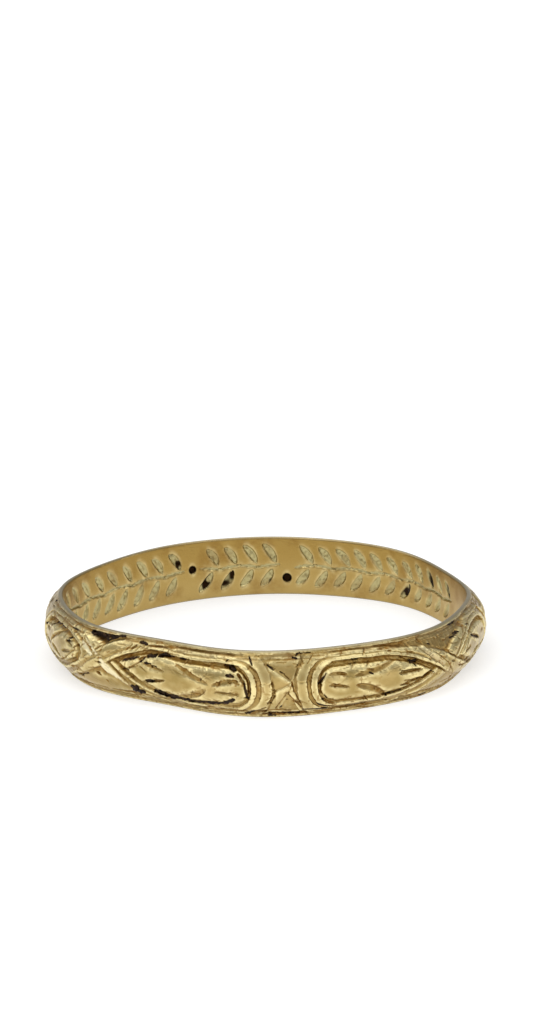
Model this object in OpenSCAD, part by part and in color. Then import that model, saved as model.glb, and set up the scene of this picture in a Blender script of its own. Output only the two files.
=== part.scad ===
// Posy ring: a flat-walled gold band, D-shaped outside, lying on its lower rim.
// Round the outside run two ribbons that cross four times and close in round ends beside
// four collars. Each of the eight loops holds a leaf, carved with a fixed pattern of cuts.
// Units are millimetres and degrees. Bearings run counter-clockwise seen from above, from
// the front (-Y). Heights v are counted from mid-band, on a band of the mean height.

/* [Band] */
// Outside diameter across the highest relief, mean of all directions
outer_d = 20; // [17:0.1:24]
// Finger hole, mean of all directions
inner_d = 18.2; // [15.5:0.1:22]
// Height of the band from rim to rim, mean round the ring
band_h = 2.88; // [2:0.02:5]
// Metal left at the two rims
rim_t = 0.16; // [0.1:0.01:0.4]
// Fullness of the outside curve: 2 is a plain arc, more is squarer
crown = 2.2; // [1.6:0.1:4]

/* [Bending and wear] */
// Share of the real ring's out-of-round shape: 0 is a true circle
bend = 1; // [0:0.1:1.5]
// Share of the real ring's uneven upper rim: 0 is level
uneven = 1; // [0:0.1:1.5]

/* [Ribbons] */
// Height of the relief over the sunk ground
relief_h = 0.2; // [0.05:0.01:0.35]
// Distance of the ribbon's centre line from the leaf's axis along the loop
loop_w = 1.08; // [0.8:0.01:1.3]
// Half the width of a ribbon
ribbon_w = 0.2; // [0.12:0.01:0.3]
// Length over which a loop opens out from its crossing
rise_len = 4; // [2.5:0.1:6]
// Length of a loop's round end
round_len = 1.05; // [0.7:0.05:1.6]

/* [Leaves] */
// Width of the sunk line between ribbon and leaf
channel_w = 0.18; // [0.1:0.01:0.3]
// Drop of the leaf's face below the ribbons
leaf_drop = 0.03; // [0:0.01:0.1]
// Depth of the cuts in a leaf, as a share of the relief
cut_depth = 0.75; // [0:0.05:1]

/* [Border] */
// Height from mid-band at which the raised border along each rim begins
border_v = 1.18; // [1:0.01:1.3]

/* [Fineness] */
// Sections along the straight part of a loop
main_n = 21; // [8:1:21]
// Sections along its round end
round_n = 8; // [4:1:8]

/* [Hidden] */

R_OUT = outer_d / 2;
R_IN = inner_d / 2;
MM_DEG = PI * R_OUT / 180;
HALF = band_h / 2;
// Length of the sloped flank between two levels of the relief, and least space between two rows
EDGE = 0.06;
GAP = 0.03;

// Out-of-round shape of the wall: waves round the ring, amplitude in mm, bearing of a crest
WAVE = 0;
AMP = 1;
CREST = 2;
BEND = [
    [2, 0.212, 51.1], [3, 0.205, 27.8], [4, 0.057, 4.3], [5, 0.042, 62.7],
    [6, 0.034, 58.6], [7, 0.076, 45.0], [8, 0.039, 40.2], [9, 0.019, 15.7]
];
// Height of the upper rim above its mean, in the same columns
RIM = [[1, 0.186, 319.3], [2, 0.089, 17.4], [3, 0.040, 49.9], [4, 0.013, 57.4], [5, 0.019, 70.1]];

// Loops: bearing and height of the crossing, bearing of the round end, height of the leaf's axis
CROSS = 0;
CROSS_V = 1;
END = 2;
AXIS_V = 3;
LOOPS = [
    [308.2, 0.38, 357.6, 0.00], [50.6, -0.30, 9.6, 0.02],
    [50.6, -0.30, 82.2, 0.03], [128.4, 0.26, 92.4, 0.04],
    [128.4, 0.26, 163.4, 0.05], [211.0, 0.11, 176.6, 0.06],
    [211.0, 0.11, 252.0, 0.03], [308.2, 0.38, 268.8, 0.06]
];

// Cuts in a leaf: above (1) or below (-1) its axis, where each starts and ends as a share of
// the loop from its round end, its height from the axis at both ends, half its width in mm.
// The two long cuts fan out from the middle of the leaf toward its tip.
SIDE = 0;
Q0 = 1;
Q1 = 2;
T0 = 3;
T1 = 4;
HALF_W = 5;
CUTS = [
    [1, 0.10, 0.25, 0.32, 0.29, 0.11], [1, 0.29, 0.55, 0.16, 0.56, 0.15], [1, 0.60, 0.74, 0.16, 0.24, 0.09],
    [-1, 0.10, 0.26, 0.16, 0.22, 0.11], [-1, 0.30, 0.52, 0.14, 0.56, 0.16], [-1, 0.58, 0.72, 0.26, 0.18, 0.09]
];

// Collars: first and last bearing, kind of face
FROM = 0;
TO = 1;
KIND = 2;
COLLARS = [
    [358.8, 8.4, "crossed"], [83.4, 91.2, "ridged"],
    [164.6, 175.4, "panel"], [253.2, 267.6, "beaded"]
];

// Signed turn from bearing b to bearing a, in degrees from -180 to 180
function turn(a, b) = (a - b + 900) % 360 - 180;
function mix(a, b, k) = a + (b - a) * k;
function limit(x, lo, hi) = min(max(x, lo), hi);
function smooth(x) = let (k = limit(x, 0, 1)) k * k * (3 - 2 * k);
// 0 before an edge and 1 past it, with a sloped flank between
function flank(x) = smooth(x / EDGE + 0.5);
function sum_of(list, k = 0) = k >= len(list) ? 0 : list[k] + sum_of(list, k + 1);
function sorted(list) = len(list) < 2 ? list : let (p = list[floor(len(list) / 2)]) concat(
    sorted([for (x = list) if (x < p) x]), [p], sorted([for (x = list) if (x > p) x]));
function waves(table, a) = sum_of([for (w = table) w[AMP] * cos(w[WAVE] * (a - w[CREST]))]);

// Shift of the wall and height of the band at a bearing
function shift(a) = bend * waves(BEND, a);
function tall(a) = band_h + uneven * waves(RIM, a);

// A loop's own frame: its length, the distance along it from its crossing, its axis
function loop_len(u) = abs(turn(u[END], u[CROSS])) * MM_DEG;
function along(u, a) = sign(turn(u[END], u[CROSS])) * turn(a, u[CROSS]) * MM_DEG;
function axis(u, s) = mix(u[CROSS_V], u[AXIS_V], smooth(s / (0.6 * loop_len(u))));
// How far the ribbons' centre lines are from the axis, at a distance along the loop
function opening(u, s) = let (k = s / rise_len, e = (s - loop_len(u) + round_len) / round_len)
    s <= 0 || e >= 1 ? 0 : loop_w * (k < 1 ? k * (2 - k) : 1) * (e > 0 ? sqrt(1 - e * e) : 1);
// Distance from the ribbons' centre line, less than nothing inside the loop
function outside(u, s, t) = let (k = s / rise_len, e = (s - loop_len(u) + round_len) / round_len)
    e > 0 ? loop_w * (norm([e, t / loop_w]) - 1)
    : k < 1 ? (abs(t) - loop_w * k * (2 - k)) / norm([1, 2 * loop_w / rise_len * (1 - k)])
    : abs(t) - loop_w;

// Cuts on one side of a leaf: the line that they follow, how wide and how deep they are there
function cut_line(side, q) = lookup(q, [
    for (c = CUTS) if (c[SIDE] == side) each [[c[Q0], c[T0]], [c[Q1], c[T1]]]
]);
function lens(c, q) = let (p = (q - c[Q0]) / (c[Q1] - c[Q0])) p <= 0 || p >= 1 ? 0 : 4 * p * (1 - p);
function cut_half(side, q) = max(concat([GAP], [for (c = CUTS) if (c[SIDE] == side) c[HALF_W] * lens(c, q)]));
function cut_at(side, q, t) = let (deep = max([for (c = CUTS) if (c[SIDE] == side) min(1, 1.6 * lens(c, q))]))
    deep * limit(1 - abs(t - cut_line(side, q)) / cut_half(side, q), 0, 1);

// Relief over the ground, as a share of relief_h: one loop's ribbon and leaf, then all of them
function ribbon(d) = flank(ribbon_w - abs(d));
function leaf(u, s, t, d) = s < 0.9 ? 0 : flank(-d - ribbon_w - channel_w) * (1 - leaf_drop / relief_h)
    * (1 - cut_depth * cut_at(t > 0 ? 1 : -1, 1 - s / loop_len(u), abs(t)));
function loop_relief(a, v) = max(concat([0], [
    for (u = LOOPS) let (s = along(u, a)) if (s > -2 && s < loop_len(u) + 1)
        let (t = v - axis(u, s), d = outside(u, s, t)) max(ribbon(d), leaf(u, s, t, d))
]));

// Relief of the collars: x runs from 0 to 1 along one, y from -1 to 1 up its face
function crossed(x, y) = 0.5 + 0.5 * flank(0.1 - abs(abs(y) - abs(2 * x - 1)) * 0.3);
function ridged(x, y) = 0.5 + 0.5 * flank(0.1 - abs(abs(x - 0.5) - 0.3));
function panel(x, y) = 0.6 + 0.4 * flank(0.08 - abs(x - 0.15 - 0.1 * y * y));
function beaded(x, y) = 0.8 + 0.2 * flank(0.07 - abs(abs(x - 0.42 + 0.1 * y * y) - 0.15));
function collar_relief(a, v) = max(concat([0], [
    for (c = COLLARS)
        let (x = turn(a, c[FROM]) / turn(c[TO], c[FROM]), y = v / border_v)
        if (x > -0.1 && x < 1.1)
        c[KIND] == "crossed" ? crossed(x, y) : c[KIND] == "ridged" ? ridged(x, y)
        : c[KIND] == "panel" ? panel(x, y) : beaded(x, y)
]));
function relief(a, v) = max(loop_relief(a, v), collar_relief(a, v), flank(abs(v) - border_v));

// Outside radius: the ground under the plain D-shaped curve, and the relief that stands on it
function curve(v) = R_IN + rim_t + (R_OUT - R_IN - rim_t) * (1 - pow(min(abs(v) / HALF, 1), crown));
function standing(v) = relief_h * limit((curve(v) - R_IN - 0.8 * rim_t) / 0.3, 0, 1);
function radius(a, v) = curve(v) - standing(v) + standing(v) * relief(a, v);

// The net's rows follow the ribbons, the channels and the cuts, so that their edges stay crisp
function half_rows(side, q, e, room, border) = let (
    inner = max(e - ribbon_w + EDGE / 2, 0.26), chan = min(channel_w, 0.36 * inner),
    edge = inner - chan - EDGE / 2,
    cut = limit(cut_line(side, q), 0.4 * edge, 0.8 * edge), h = cut_half(side, q),
    outer = min(max(e, 0.1) + ribbon_w - EDGE / 2, room - 4 * GAP - EDGE),
    foot = max(border - EDGE / 2, outer + EDGE + GAP)
) [
    max(cut - h, 0.15 * edge), cut, min(cut + h, 0.94 * edge), edge, inner - chan / 2, inner,
    outer, outer + EDGE, foot, max(border + EDGE / 2, foot + GAP), room
];
// Between two loops, on a collar, they are spread evenly
function even_rows(room, border) = concat(
    [for (k = [1:8]) (border - EDGE) * k / 8.5], [border - EDGE / 2, border + EDGE / 2, room]);
function loop_at(a) = [for (u = LOOPS) let (s = along(u, a)) if (s > 0 && s < loop_len(u)) u];
function loop_rows(u, s) = let (
    q = 1 - s / loop_len(u), m = axis(u, s), e = max(opening(u, s), q < 0.5 ? 0.5 : 0)
) [m, half_rows(1, q, e, HALF - m, border_v - m), half_rows(-1, q, e, HALF + m, border_v + m)];
function rows(a) = let (
    u = loop_at(a), net = len(u) > 0 ? loop_rows(u[0], along(u[0], a))
        : [0, even_rows(HALF, border_v), even_rows(HALF, border_v)]
) concat([for (k = [10:-1:0]) net[0] + net[1][k]], [net[0]], [for (k = [0:10]) net[0] - net[2][k]]);

// Bearings of the sections: closer together round the loops' ends
function stops(u) = let (reach = loop_len(u) + ribbon_w, from = loop_len(u) - round_len - 0.1) concat(
    [for (k = [0:main_n - 1]) from * (k + 0.5) / main_n],
    [for (k = [0:round_n - 1]) mix(from, reach, sin(90 * (k + 0.5) / round_n))]
);
BEARINGS = sorted(concat(
    [for (u = LOOPS) for (s = stops(u)) (u[CROSS] + sign(turn(u[END], u[CROSS])) * s / MM_DEG + 360) % 360],
    [for (c = COLLARS) let (n = ceil(turn(c[TO], c[FROM]) * MM_DEG / 0.32))
        for (k = [0:n - 1]) (c[FROM] + turn(c[TO], c[FROM]) * (k + 0.5) / n) % 360]
));

// One section: the inner wall's two corners, then the outside from the upper rim to the lower
function place(a, r, z) = [(r + shift(a)) * sin(a), -(r + shift(a)) * cos(a), z];
function section(a) = concat(
    [place(a, R_IN, 0), place(a, R_IN, tall(a))],
    [for (v = rows(a)) place(a, radius(a, v), (v / band_h + 0.5) * tall(a))]
);
NET = [for (a = BEARINGS) section(a)];
PER = len(NET[0]);
FLAT = [for (s = NET) for (p = s) p];
XS = [for (p = FLAT) p[0]];
YS = [for (p = FLAT) p[1]];
CENTRE = [(max(XS) + min(XS)) / 2, (max(YS) + min(YS)) / 2, 0];
echo(sections = len(NET), points = PER, triangles = 2 * PER * len(NET), centre = CENTRE);

module band() {
    color("gold")
    translate(-CENTRE)
    polyhedron(
        points = FLAT,
        faces = [
            for (k = [0:len(NET) - 1]) for (j = [0:PER - 1])
                let (n = (k + 1) % len(NET), i = (j + 1) % PER,
                    a = k * PER + j, b = k * PER + i, c = n * PER + i, d = n * PER + j)
                each [[a, b, c], [a, c, d]]
        ]
    );
}

band();
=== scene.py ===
# %% [markdown]
# # A posy ring in gold
# This lesson dresses a CAD model of an old finger ring: a gold band, flat inside and rounded
# outside, with two ribbons that cross four times round eight carved leaves. The CAD model gives
# the size and the bent outline. Here the same outline gets the carver's detail, the wear, the
# last crumbs of black enamel, the gold itself, and a plain studio.

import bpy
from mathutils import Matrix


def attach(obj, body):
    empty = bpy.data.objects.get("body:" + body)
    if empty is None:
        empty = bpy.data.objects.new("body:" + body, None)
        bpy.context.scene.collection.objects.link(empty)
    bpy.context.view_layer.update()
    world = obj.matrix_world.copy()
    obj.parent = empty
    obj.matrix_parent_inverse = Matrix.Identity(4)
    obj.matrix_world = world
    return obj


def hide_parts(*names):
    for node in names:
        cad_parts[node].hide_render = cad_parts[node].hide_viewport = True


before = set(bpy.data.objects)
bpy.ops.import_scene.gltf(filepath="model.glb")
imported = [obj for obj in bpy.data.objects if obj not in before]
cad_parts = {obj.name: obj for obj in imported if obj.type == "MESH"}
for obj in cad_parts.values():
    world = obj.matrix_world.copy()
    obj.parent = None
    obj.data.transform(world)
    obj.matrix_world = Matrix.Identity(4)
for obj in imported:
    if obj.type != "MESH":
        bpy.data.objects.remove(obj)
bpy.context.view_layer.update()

# %% [markdown]
# ## Helpers for colour, nodes and objects
# Colours are read off a screen as sRGB hex values, but a renderer adds and multiplies light, so
# it needs linear numbers. One function turns the first into the second. Another adds a shader
# or geometry node, sets what it is given and links its inputs. The short ones after it are the
# few kinds of node that recur, which keeps the trees readable.

# %% Colour, node and object helpers
import math
from collections import namedtuple
from functools import lru_cache

import bpy
import numpy as np
from mathutils import Matrix, Vector

MM = 0.001


def linear(hex_code):
    """A colour such as "#c8a860" as linear red, green, blue and alpha."""
    parts = [int(hex_code[i:i + 2], 16) / 255 for i in (1, 3, 5)]
    return [c / 12.92 if c <= 0.04045 else ((c + 0.055) / 1.055) ** 2.4 for c in parts] + [1.0]


def add_node(tree, kind, links=None, **settings):
    """Adds a node. links maps an input's name or number to a value or to another node's output."""
    node = tree.nodes.new(kind)
    for name, value in settings.items():
        setattr(node, name, value)
    for key, value in (links or {}).items():
        if isinstance(value, bpy.types.NodeSocket):
            tree.links.new(value, node.inputs[key])
        else:
            node.inputs[key].default_value = value
    return node


def maths(tree, operation, *values, **settings):
    """A number made of one or two others."""
    return add_node(tree, "ShaderNodeMath", dict(enumerate(values)), operation=operation,
                    **settings).outputs[0]


def vector_maths(tree, operation, vector, other):
    """A vector made of another and a second vector, or a factor where the operation is SCALE."""
    second = "Scale" if operation == "SCALE" else 1
    return add_node(tree, "ShaderNodeVectorMath", {0: vector, second: other},
                    operation=operation).outputs["Vector"]


def remap(tree, value, start, end, first=0.0, last=1.0):
    """A number that goes from first to last while value goes from start to end."""
    return add_node(tree, "ShaderNodeMapRange", {
        "Value": value, "From Min": start, "From Max": end, "To Min": first,
        "To Max": last}).outputs["Result"]


def mix_colours(tree, share, one, other):
    """One colour covered by another by a share."""
    return add_node(tree, "ShaderNodeMix", {0: share, 6: one, 7: other},
                    data_type="RGBA").outputs[2]


def noise_texture(tree, at, scale, detail):
    """Outputs of a noise with about scale forms in a metre."""
    return add_node(tree, "ShaderNodeTexNoise",
                    {"Vector": at, "Scale": scale, "Detail": detail}).outputs


def new_material(name):
    """A new material, its node tree and its shader."""
    material = bpy.data.materials.new(name)
    material.use_nodes = True
    return material, material.node_tree, material.node_tree.nodes["Principled BSDF"]


def set_attribute(mesh, name, values):
    """Stores a number or a vector at every point of a mesh."""
    values = np.asarray(values, np.float32)
    kind, key = ("FLOAT", "value") if values.ndim == 1 else ("FLOAT_VECTOR", "vector")
    mesh.attributes.new(name, kind, "POINT").data.foreach_set(key, values.ravel())


def add_object(name, data):
    """A new object in the scene."""
    obj = bpy.data.objects.new(name, data)
    bpy.context.scene.collection.objects.link(obj)
    return obj


# %% [markdown]
# ## The ring's measures
# These are the CAD model's own sizes, in millimetres and degrees. A bearing runs round the ring
# counter-clockwise seen from above, from the front. A height v is counted from mid-band, on a
# band of mean height. The real ring has been knocked out of round and its upper rim waves, so
# both are sums of a few waves round the ring, which keeps the outline smooth and closed.

# %% Measures of the band
# Radii outside and inside, height, thickness at the rims, and the power of the rounded outside
R_OUT = 10.0
R_IN = 9.1
BAND_H = 2.88
RIM_T = 0.16
CROWN = 2.2
HALF = BAND_H / 2
# Millimetres that one degree spans on the outside
MM_DEG = math.pi * R_OUT / 180

# How many times a wave rises round the ring, its size in mm, and the bearing of a crest
Wave = namedtuple("Wave", "count size crest")
BEND = [
    Wave(2, 0.212, 51.1), Wave(3, 0.205, 27.8), Wave(4, 0.057, 4.3), Wave(5, 0.042, 62.7),
    Wave(6, 0.034, 58.6), Wave(7, 0.076, 45.0), Wave(8, 0.039, 40.2), Wave(9, 0.019, 15.7),
]
RIM = [
    Wave(1, 0.186, 319.3), Wave(2, 0.089, 17.4), Wave(3, 0.040, 49.9), Wave(4, 0.013, 57.4),
    Wave(5, 0.019, 70.1),
]
# The CAD model's box is centred, so its ring is moved by this much from the waves' own middle.
CENTRE = (-0.185, -0.101)


def waves(table, bearing):
    """Sum of the waves at each bearing, in mm."""
    return sum(w.size * np.cos(np.radians(w.count * (bearing - w.crest))) for w in table)


def curve(v):
    """Outside radius of the plain D-shaped band at height v."""
    full = 1 - np.minimum(np.abs(v) / HALF, 1) ** CROWN
    return R_IN + RIM_T + (R_OUT - R_IN - RIM_T) * full


def place(bearing, radius, v):
    """Points in metres, from bearings, radii and heights of the unbent band."""
    a = np.radians(bearing)
    r = radius + waves(BEND, bearing)
    z = (v / BAND_H + 0.5) * (BAND_H + waves(RIM, bearing))
    return np.stack([r * np.sin(a) - CENTRE[0], -r * np.cos(a) - CENTRE[1], z], -1) * MM


def turn(a, b):
    """Signed turn from bearing b to bearing a, from -180 to 180 degrees."""
    return (a - b + 180) % 360 - 180


def smooth(x):
    """An eased step from 0 to 1."""
    x = np.clip(x, 0, 1)
    return x * x * (3 - 2 * x)


def mix(a, b, k):
    """From a to b as k goes from 0 to 1."""
    return a + (b - a) * k


# %% [markdown]
# ## One net for the whole ring
# The relief is a height on a fine net that runs round the ring, so a function of bearing and
# height is all that a form needs. The net's cells are about 0.03 mm, and one pixel of the
# picture shows 0.046 mm. The net is cut into four quarters later, only to keep each mesh light.

# %% The net
# Bearings where the quarters meet, columns in each of them, and rows outside and inside
SEAMS = [3.6, 88.2, 170.4, 260.5]
COLUMNS = 640
ROWS_OUT = 92
ROWS_IN = 56

steps = [turn(SEAMS[(k + 1) % 4], SEAMS[k]) % 360 for k in range(4)]
bearings = np.concatenate([SEAMS[k] + steps[k] * np.arange(COLUMNS) / COLUMNS
                           for k in range(4)]) % 360
# Rows are spread evenly along the rounded outside, not along its height
fine_v = np.linspace(-HALF, HALF, 4001)
run = np.concatenate([[0], np.cumsum(np.hypot(np.diff(fine_v), np.diff(curve(fine_v))))])
rows_out = np.interp(np.linspace(run[-1], 0, ROWS_OUT), run, fine_v)
rows_in = np.linspace(-HALF, HALF, ROWS_IN)
print("net:", len(bearings), "bearings, rows", ROWS_OUT, "outside and", ROWS_IN, "inside")

# %% [markdown]
# ## Worn metal is never even
# A hand-cut surface undulates, and wear softens it unevenly. Lattice noise gives that: random
# values on a grid, blended smoothly between its points. The grid closes on itself round the
# ring, and each layer has a seed of its own, so every run gives the same ring.

# %% Noise round the ring
# How far the grid reaches above and below mid-band, in mm. Seeds run from 1 for the outside, from
# 21 for the strokes and cuts, and from 41 for the inside.
NOISE_REACH = 3


@lru_cache(maxsize=None)
def lattice(count, rows, seed):
    """Random values from -1 to 1 on a grid, kept for the next call with the same seed."""
    return np.random.default_rng(seed).uniform(-1, 1, (count, rows))


def noise(bearing, v, cell, seed, stretch=1.0):
    """Smooth noise from -1 to 1. Its grid is cell mm wide, and longer round the ring by stretch."""
    count = max(4, int(round(360 * MM_DEG / (cell * stretch))))
    rows = int(2 * NOISE_REACH / cell) + 4
    table = lattice(count, rows, seed)
    x = (bearing % 360) / 360 * count
    y = (v + NOISE_REACH) / cell
    i, j = np.floor(x).astype(int) % count, np.clip(np.floor(y).astype(int), 0, rows - 2)
    fx, fy = smooth(x - np.floor(x)), smooth(y - np.floor(y))
    low = mix(table[i, j], table[(i + 1) % count, j], fx)
    high = mix(table[i, j + 1], table[(i + 1) % count, j + 1], fx)
    return mix(low, high, fy)


# %% [markdown]
# ## The ribbons and the loops that they make
# Seen from the side, two ribbons weave round the band. They cross, open into a loop, and turn
# back in a round end, where a short collar parts them from the next loop. Each loop is worked
# out in its own frame: a distance along it from its crossing, and a height from its axis. The
# ribbon is thinner along the rims, where the band has no room, and broad at the round ends.

# %% Chart of the loops
# Across a ribbon runs a groove: where it lies from the leaf (0) outward (1), half its share of
# the ribbon's width, and its depth in mm
Groove = namedtuple("Groove", "at half deep")
FINE = Groove(0.50, 0.10, 0.05)
WIDE = Groove(0.58, 0.32, 0.09)
PLAIN = Groove(0.50, 0.20, 0.01)

# Bearing and height of the crossing, bearing of the round end and how far back it begins to
# bend, how far from the crossing the leaf's tip lies, heights of the ribbon's middle above and
# below, half its width above, below and at the end, width of the sunk channel above and below
# the leaf, level of the collar past the end, and the grooves above, below and at the end
Loop = namedtuple("Loop", "cross cross_v end round tip top bottom w_top w_bottom w_end "
                          "c_top c_bottom plate g_top g_bottom g_end")
LOOPS = [
    Loop(308.2, 0.42, 357.5, 1.15, 0.98, 1.08, -1.10, 0.16, 0.18, 0.54, 0.17, 0.17, -0.10,
         FINE, WIDE, Groove(0.44, 0.13, 0.10)),
    Loop(50.6, -0.04, 9.7, 1.15, 0.92, 1.10, -1.07, 0.16, 0.22, 0.53, 0.21, 0.11, -0.10,
         FINE, WIDE, Groove(0.47, 0.10, 0.10)),
    Loop(50.6, -0.04, 83.5, 1.15, 1.15, 1.05, -1.12, 0.19, 0.18, 0.42, 0.20, 0.20, -0.10,
         FINE, PLAIN, Groove(0.65, 0.18, 0.08)),
    Loop(128.5, 0.34, 94.7, 1.15, 1.00, 1.10, -1.08, 0.16, 0.28, 0.55, 0.17, 0.17, -0.10,
         PLAIN, PLAIN, PLAIN),
    Loop(128.5, 0.34, 163.6, 1.8, 1.08, 1.10, -1.05, 0.22, 0.20, 0.28, 0.15, 0.15, -0.07,
         PLAIN, PLAIN, PLAIN),
    Loop(212.3, 0.16, 179.1, 1.3, 0.92, 1.12, -0.97, 0.17, 0.30, 0.44, 0.17, 0.17, -0.07,
         FINE, WIDE, Groove(0.88, 0.07, 0.06)),
    Loop(212.3, 0.16, 254.0, 1.25, 1.20, 1.09, -1.08, 0.16, 0.18, 0.60, 0.17, 0.17, -0.03,
         FINE, WIDE, Groove(0.34, 0.20, 0.09)),
    Loop(308.2, 0.42, 270.7, 1.3, 1.70, 1.09, -1.00, 0.16, 0.22, 0.37, 0.20, 0.20, -0.03,
         FINE, WIDE, Groove(0.36, 0.12, 0.08)),
]
# At each crossing, whether the ribbon on top climbs to the right (1) or falls (-1; 0 where they
# merge), and the same for the ribbon that shows the deeper groove and the broader facet (0
# where both do, 2 where neither does)
Crossing = namedtuple("Crossing", "over deep")
CROSSINGS = {308.2: Crossing(1, -1), 50.6: Crossing(-1, 2), 128.5: Crossing(1, 1),
             212.3: Crossing(0, 0)}
# Length in which the arms part from a crossing, half the ribbon's width there, and how square
# the superellipse of a round end is (2 would be round)
RISE = 4.0
W_CROSS = 0.38
SQUARE = 2.3


def loop_frame(loop, bearing, v):
    """Distance along the loop from its crossing, its length, and height from its axis."""
    way = math.copysign(1, turn(loop.end, loop.cross))
    size = abs(turn(loop.end, loop.cross)) * MM_DEG
    s = way * turn(bearing, loop.cross) * MM_DEG
    axis = mix(loop.cross_v, (loop.top + loop.bottom) / 2, smooth(s / (0.6 * size)))
    return s, size, v - axis


def arm_distance(loop, s, size, t, side):
    """Distance out from the middle of the upper (1) or lower (-1) arm of the loop's ribbon."""
    width = (loop.top - loop.bottom) / 2
    k = np.clip(s / RISE, 0, 1)
    e = (s - size + loop.round) / loop.round
    flat = (side * t - width * k * (2 - k)) / np.sqrt(1 + (2 * width / RISE * (1 - k)) ** 2)
    # The round end is a superellipse; its value over its slope is close to a true distance
    ahead, up = np.maximum(e, 0), np.abs(t) / width
    oval = np.maximum((ahead ** SQUARE + up ** SQUARE) ** (1 / SQUARE), 1e-6)
    slope = np.hypot((ahead / oval) ** (SQUARE - 1) / loop.round,
                     (up / oval) ** (SQUARE - 1) / width)
    return np.where(e > 0, (oval - 1) / slope, flat)


# %% [markdown]
# ## How the ribbons are cut
# Across, a ribbon has a ridge along each edge and a shallow groove between them. It stands over
# the ground beside it by about a fifth of a millimetre. Between ribbon and leaf runs a narrow
# channel, and in the triangles above and below each crossing the ground lies open. Where two
# ribbons cross, the one on top keeps its shape and the other stops at its edge.

# %% Heights of ribbons, leaves, collars and ground
# Levels under the crests and widths in mm, and how high up the borders along the rims begin
GROUND = -0.19
FLANK = 0.075
LEAF_LEVEL = -0.025
ROOF = 0.055
BORDER_V = 1.30
BORDER_LEVEL = -0.03
# How far a loop reaches past its end, how far from a crossing one ribbon gives way, the gap that
# it leaves beside the ribbon on top, and half the width of the thin line at a ribbon's foot
PAST_END = 1.7
GIVES_WAY = 1.6
TOP_GAP = 0.04
FOOT_HALF = 0.05


def step(x, width=FLANK):
    """0 before an edge and 1 past it, with a flank that the net can follow."""
    return smooth(x / width + 0.5)


def arm_height(loop, s, size, t, side):
    """One arm of a ribbon: its height over the ground, and the distance out from its edge."""
    d = arm_distance(loop, s, size, t, side)
    e = smooth((s - size + loop.round) / loop.round)
    c = 1 - smooth(s / (0.75 * RISE))
    half = mix(mix(loop.w_top if side > 0 else loop.w_bottom, W_CROSS, c), loop.w_end, e)
    way = math.copysign(1, turn(loop.end, loop.cross))
    faceted = CROSSINGS[loop.cross].deep in (0, side * way)
    own = loop.g_top if side > 0 else loop.g_bottom
    # Toward a crossing the groove moves inward, deep on the faceted ribbon and faint on the other
    across = Groove(0.30, 0.12, 0.10 if faceted else 0.025)
    at, wide, deep = [mix(mix(own[k], across[k], c), loop.g_end[k], e) for k in range(3)]
    x = (d + half) / (2 * half)
    groove = deep * (1 - smooth((np.abs(x - at) / wide - 0.45) / 0.75))
    # The outer part of a ribbon is a soft roof with its ridge next to the groove
    roof = ROOF * np.clip((x - at - 0.18) / (0.82 - at), 0, 1) ** 1.3
    return (-GROUND - groove - roof) * step(half - np.abs(d)), np.abs(d) - half, d + half


def relief(bearing, v):
    """Height of the carving, 0 at its crests, and how near each point is to a ribbon's foot."""
    high, foot = np.zeros_like(v), np.zeros_like(v)
    for loop in LOOPS:
        s, size, t = loop_frame(loop, bearing, v)
        own = (s > 0) & (s < size + PAST_END)
        top, top_gap, top_in = arm_height(loop, s, size, t, 1)
        low, low_gap, low_in = arm_height(loop, s, size, t, -1)
        top_is_over = CROSSINGS[loop.cross].over * math.copysign(1, turn(loop.end, loop.cross))
        near_cross = s < GIVES_WAY
        if top_is_over > 0:
            low = np.where(near_cross, low * step(top_gap - TOP_GAP), low)
        elif top_is_over < 0:
            top = np.where(near_cross, top * step(low_gap - TOP_GAP), top)
        ribbon = np.maximum(top, low)
        within = -np.maximum(top_in, low_in)
        # The leaf's tip is a blunt wedge, and its face falls off by 0.03 mm toward its edge
        past_tip = 0.5 * (s - loop.tip) - 0.35 * np.abs(t)
        deep = np.minimum(np.minimum(-top_in - loop.c_top, -low_in - loop.c_bottom), past_tip)
        leaf = (LEAF_LEVEL - GROUND - 0.03 * (1 - smooth(deep / 0.16))) * step(deep)
        # Before the channel begins, the corner between the two arms is solid metal
        corner = (LEAF_LEVEL - GROUND) * (1 - step(past_tip + loop.c_top)) * step(within + 0.05)
        leaf = np.maximum(leaf, corner)
        # A collar's plate fills the corners outside the round end, up to the next loop
        beyond = smooth((s - size + loop.round + 0.35) / 0.5)
        plate = (loop.plate - GROUND) * beyond * step(np.maximum(top_in, low_in) - 0.02)
        high = np.where(own, np.maximum(high, np.maximum(ribbon, np.maximum(leaf, plate))), high)
        # The thin line at the foot of the ribbon's inner flank, and a fainter one past the collar's
        inner_line = (smooth(1 - np.abs(within - 0.055) / FOOT_HALF)
                      * smooth((s - 0.8 * loop.tip) / 0.3))
        outer_line = 0.7 * beyond * smooth(
            1 - np.abs(within + 2 * loop.w_end + FOOT_HALF) / FOOT_HALF)
        foot = np.where(own, np.maximum(foot, np.maximum(inner_line, outer_line)), foot)
    border = (-GROUND + BORDER_LEVEL) * step(np.abs(v) - BORDER_V)
    # The triangles below the crossings are worn down to a shallow, pale dip
    shallow = 0.10 * smooth((-0.15 - v) / 0.3)
    return GROUND + np.maximum(np.maximum(high, border), shallow), foot


# %% [markdown]
# ## Carving the net
# The carver drew the ribbons freehand, so every edge wanders a little. Here the wandering is done
# to the places where the relief is looked up, not to the relief, which keeps flanks steep.

# %% Carve the plain forms
net_b, net_v = np.meshgrid(bearings, rows_out, indexing="ij")
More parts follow.
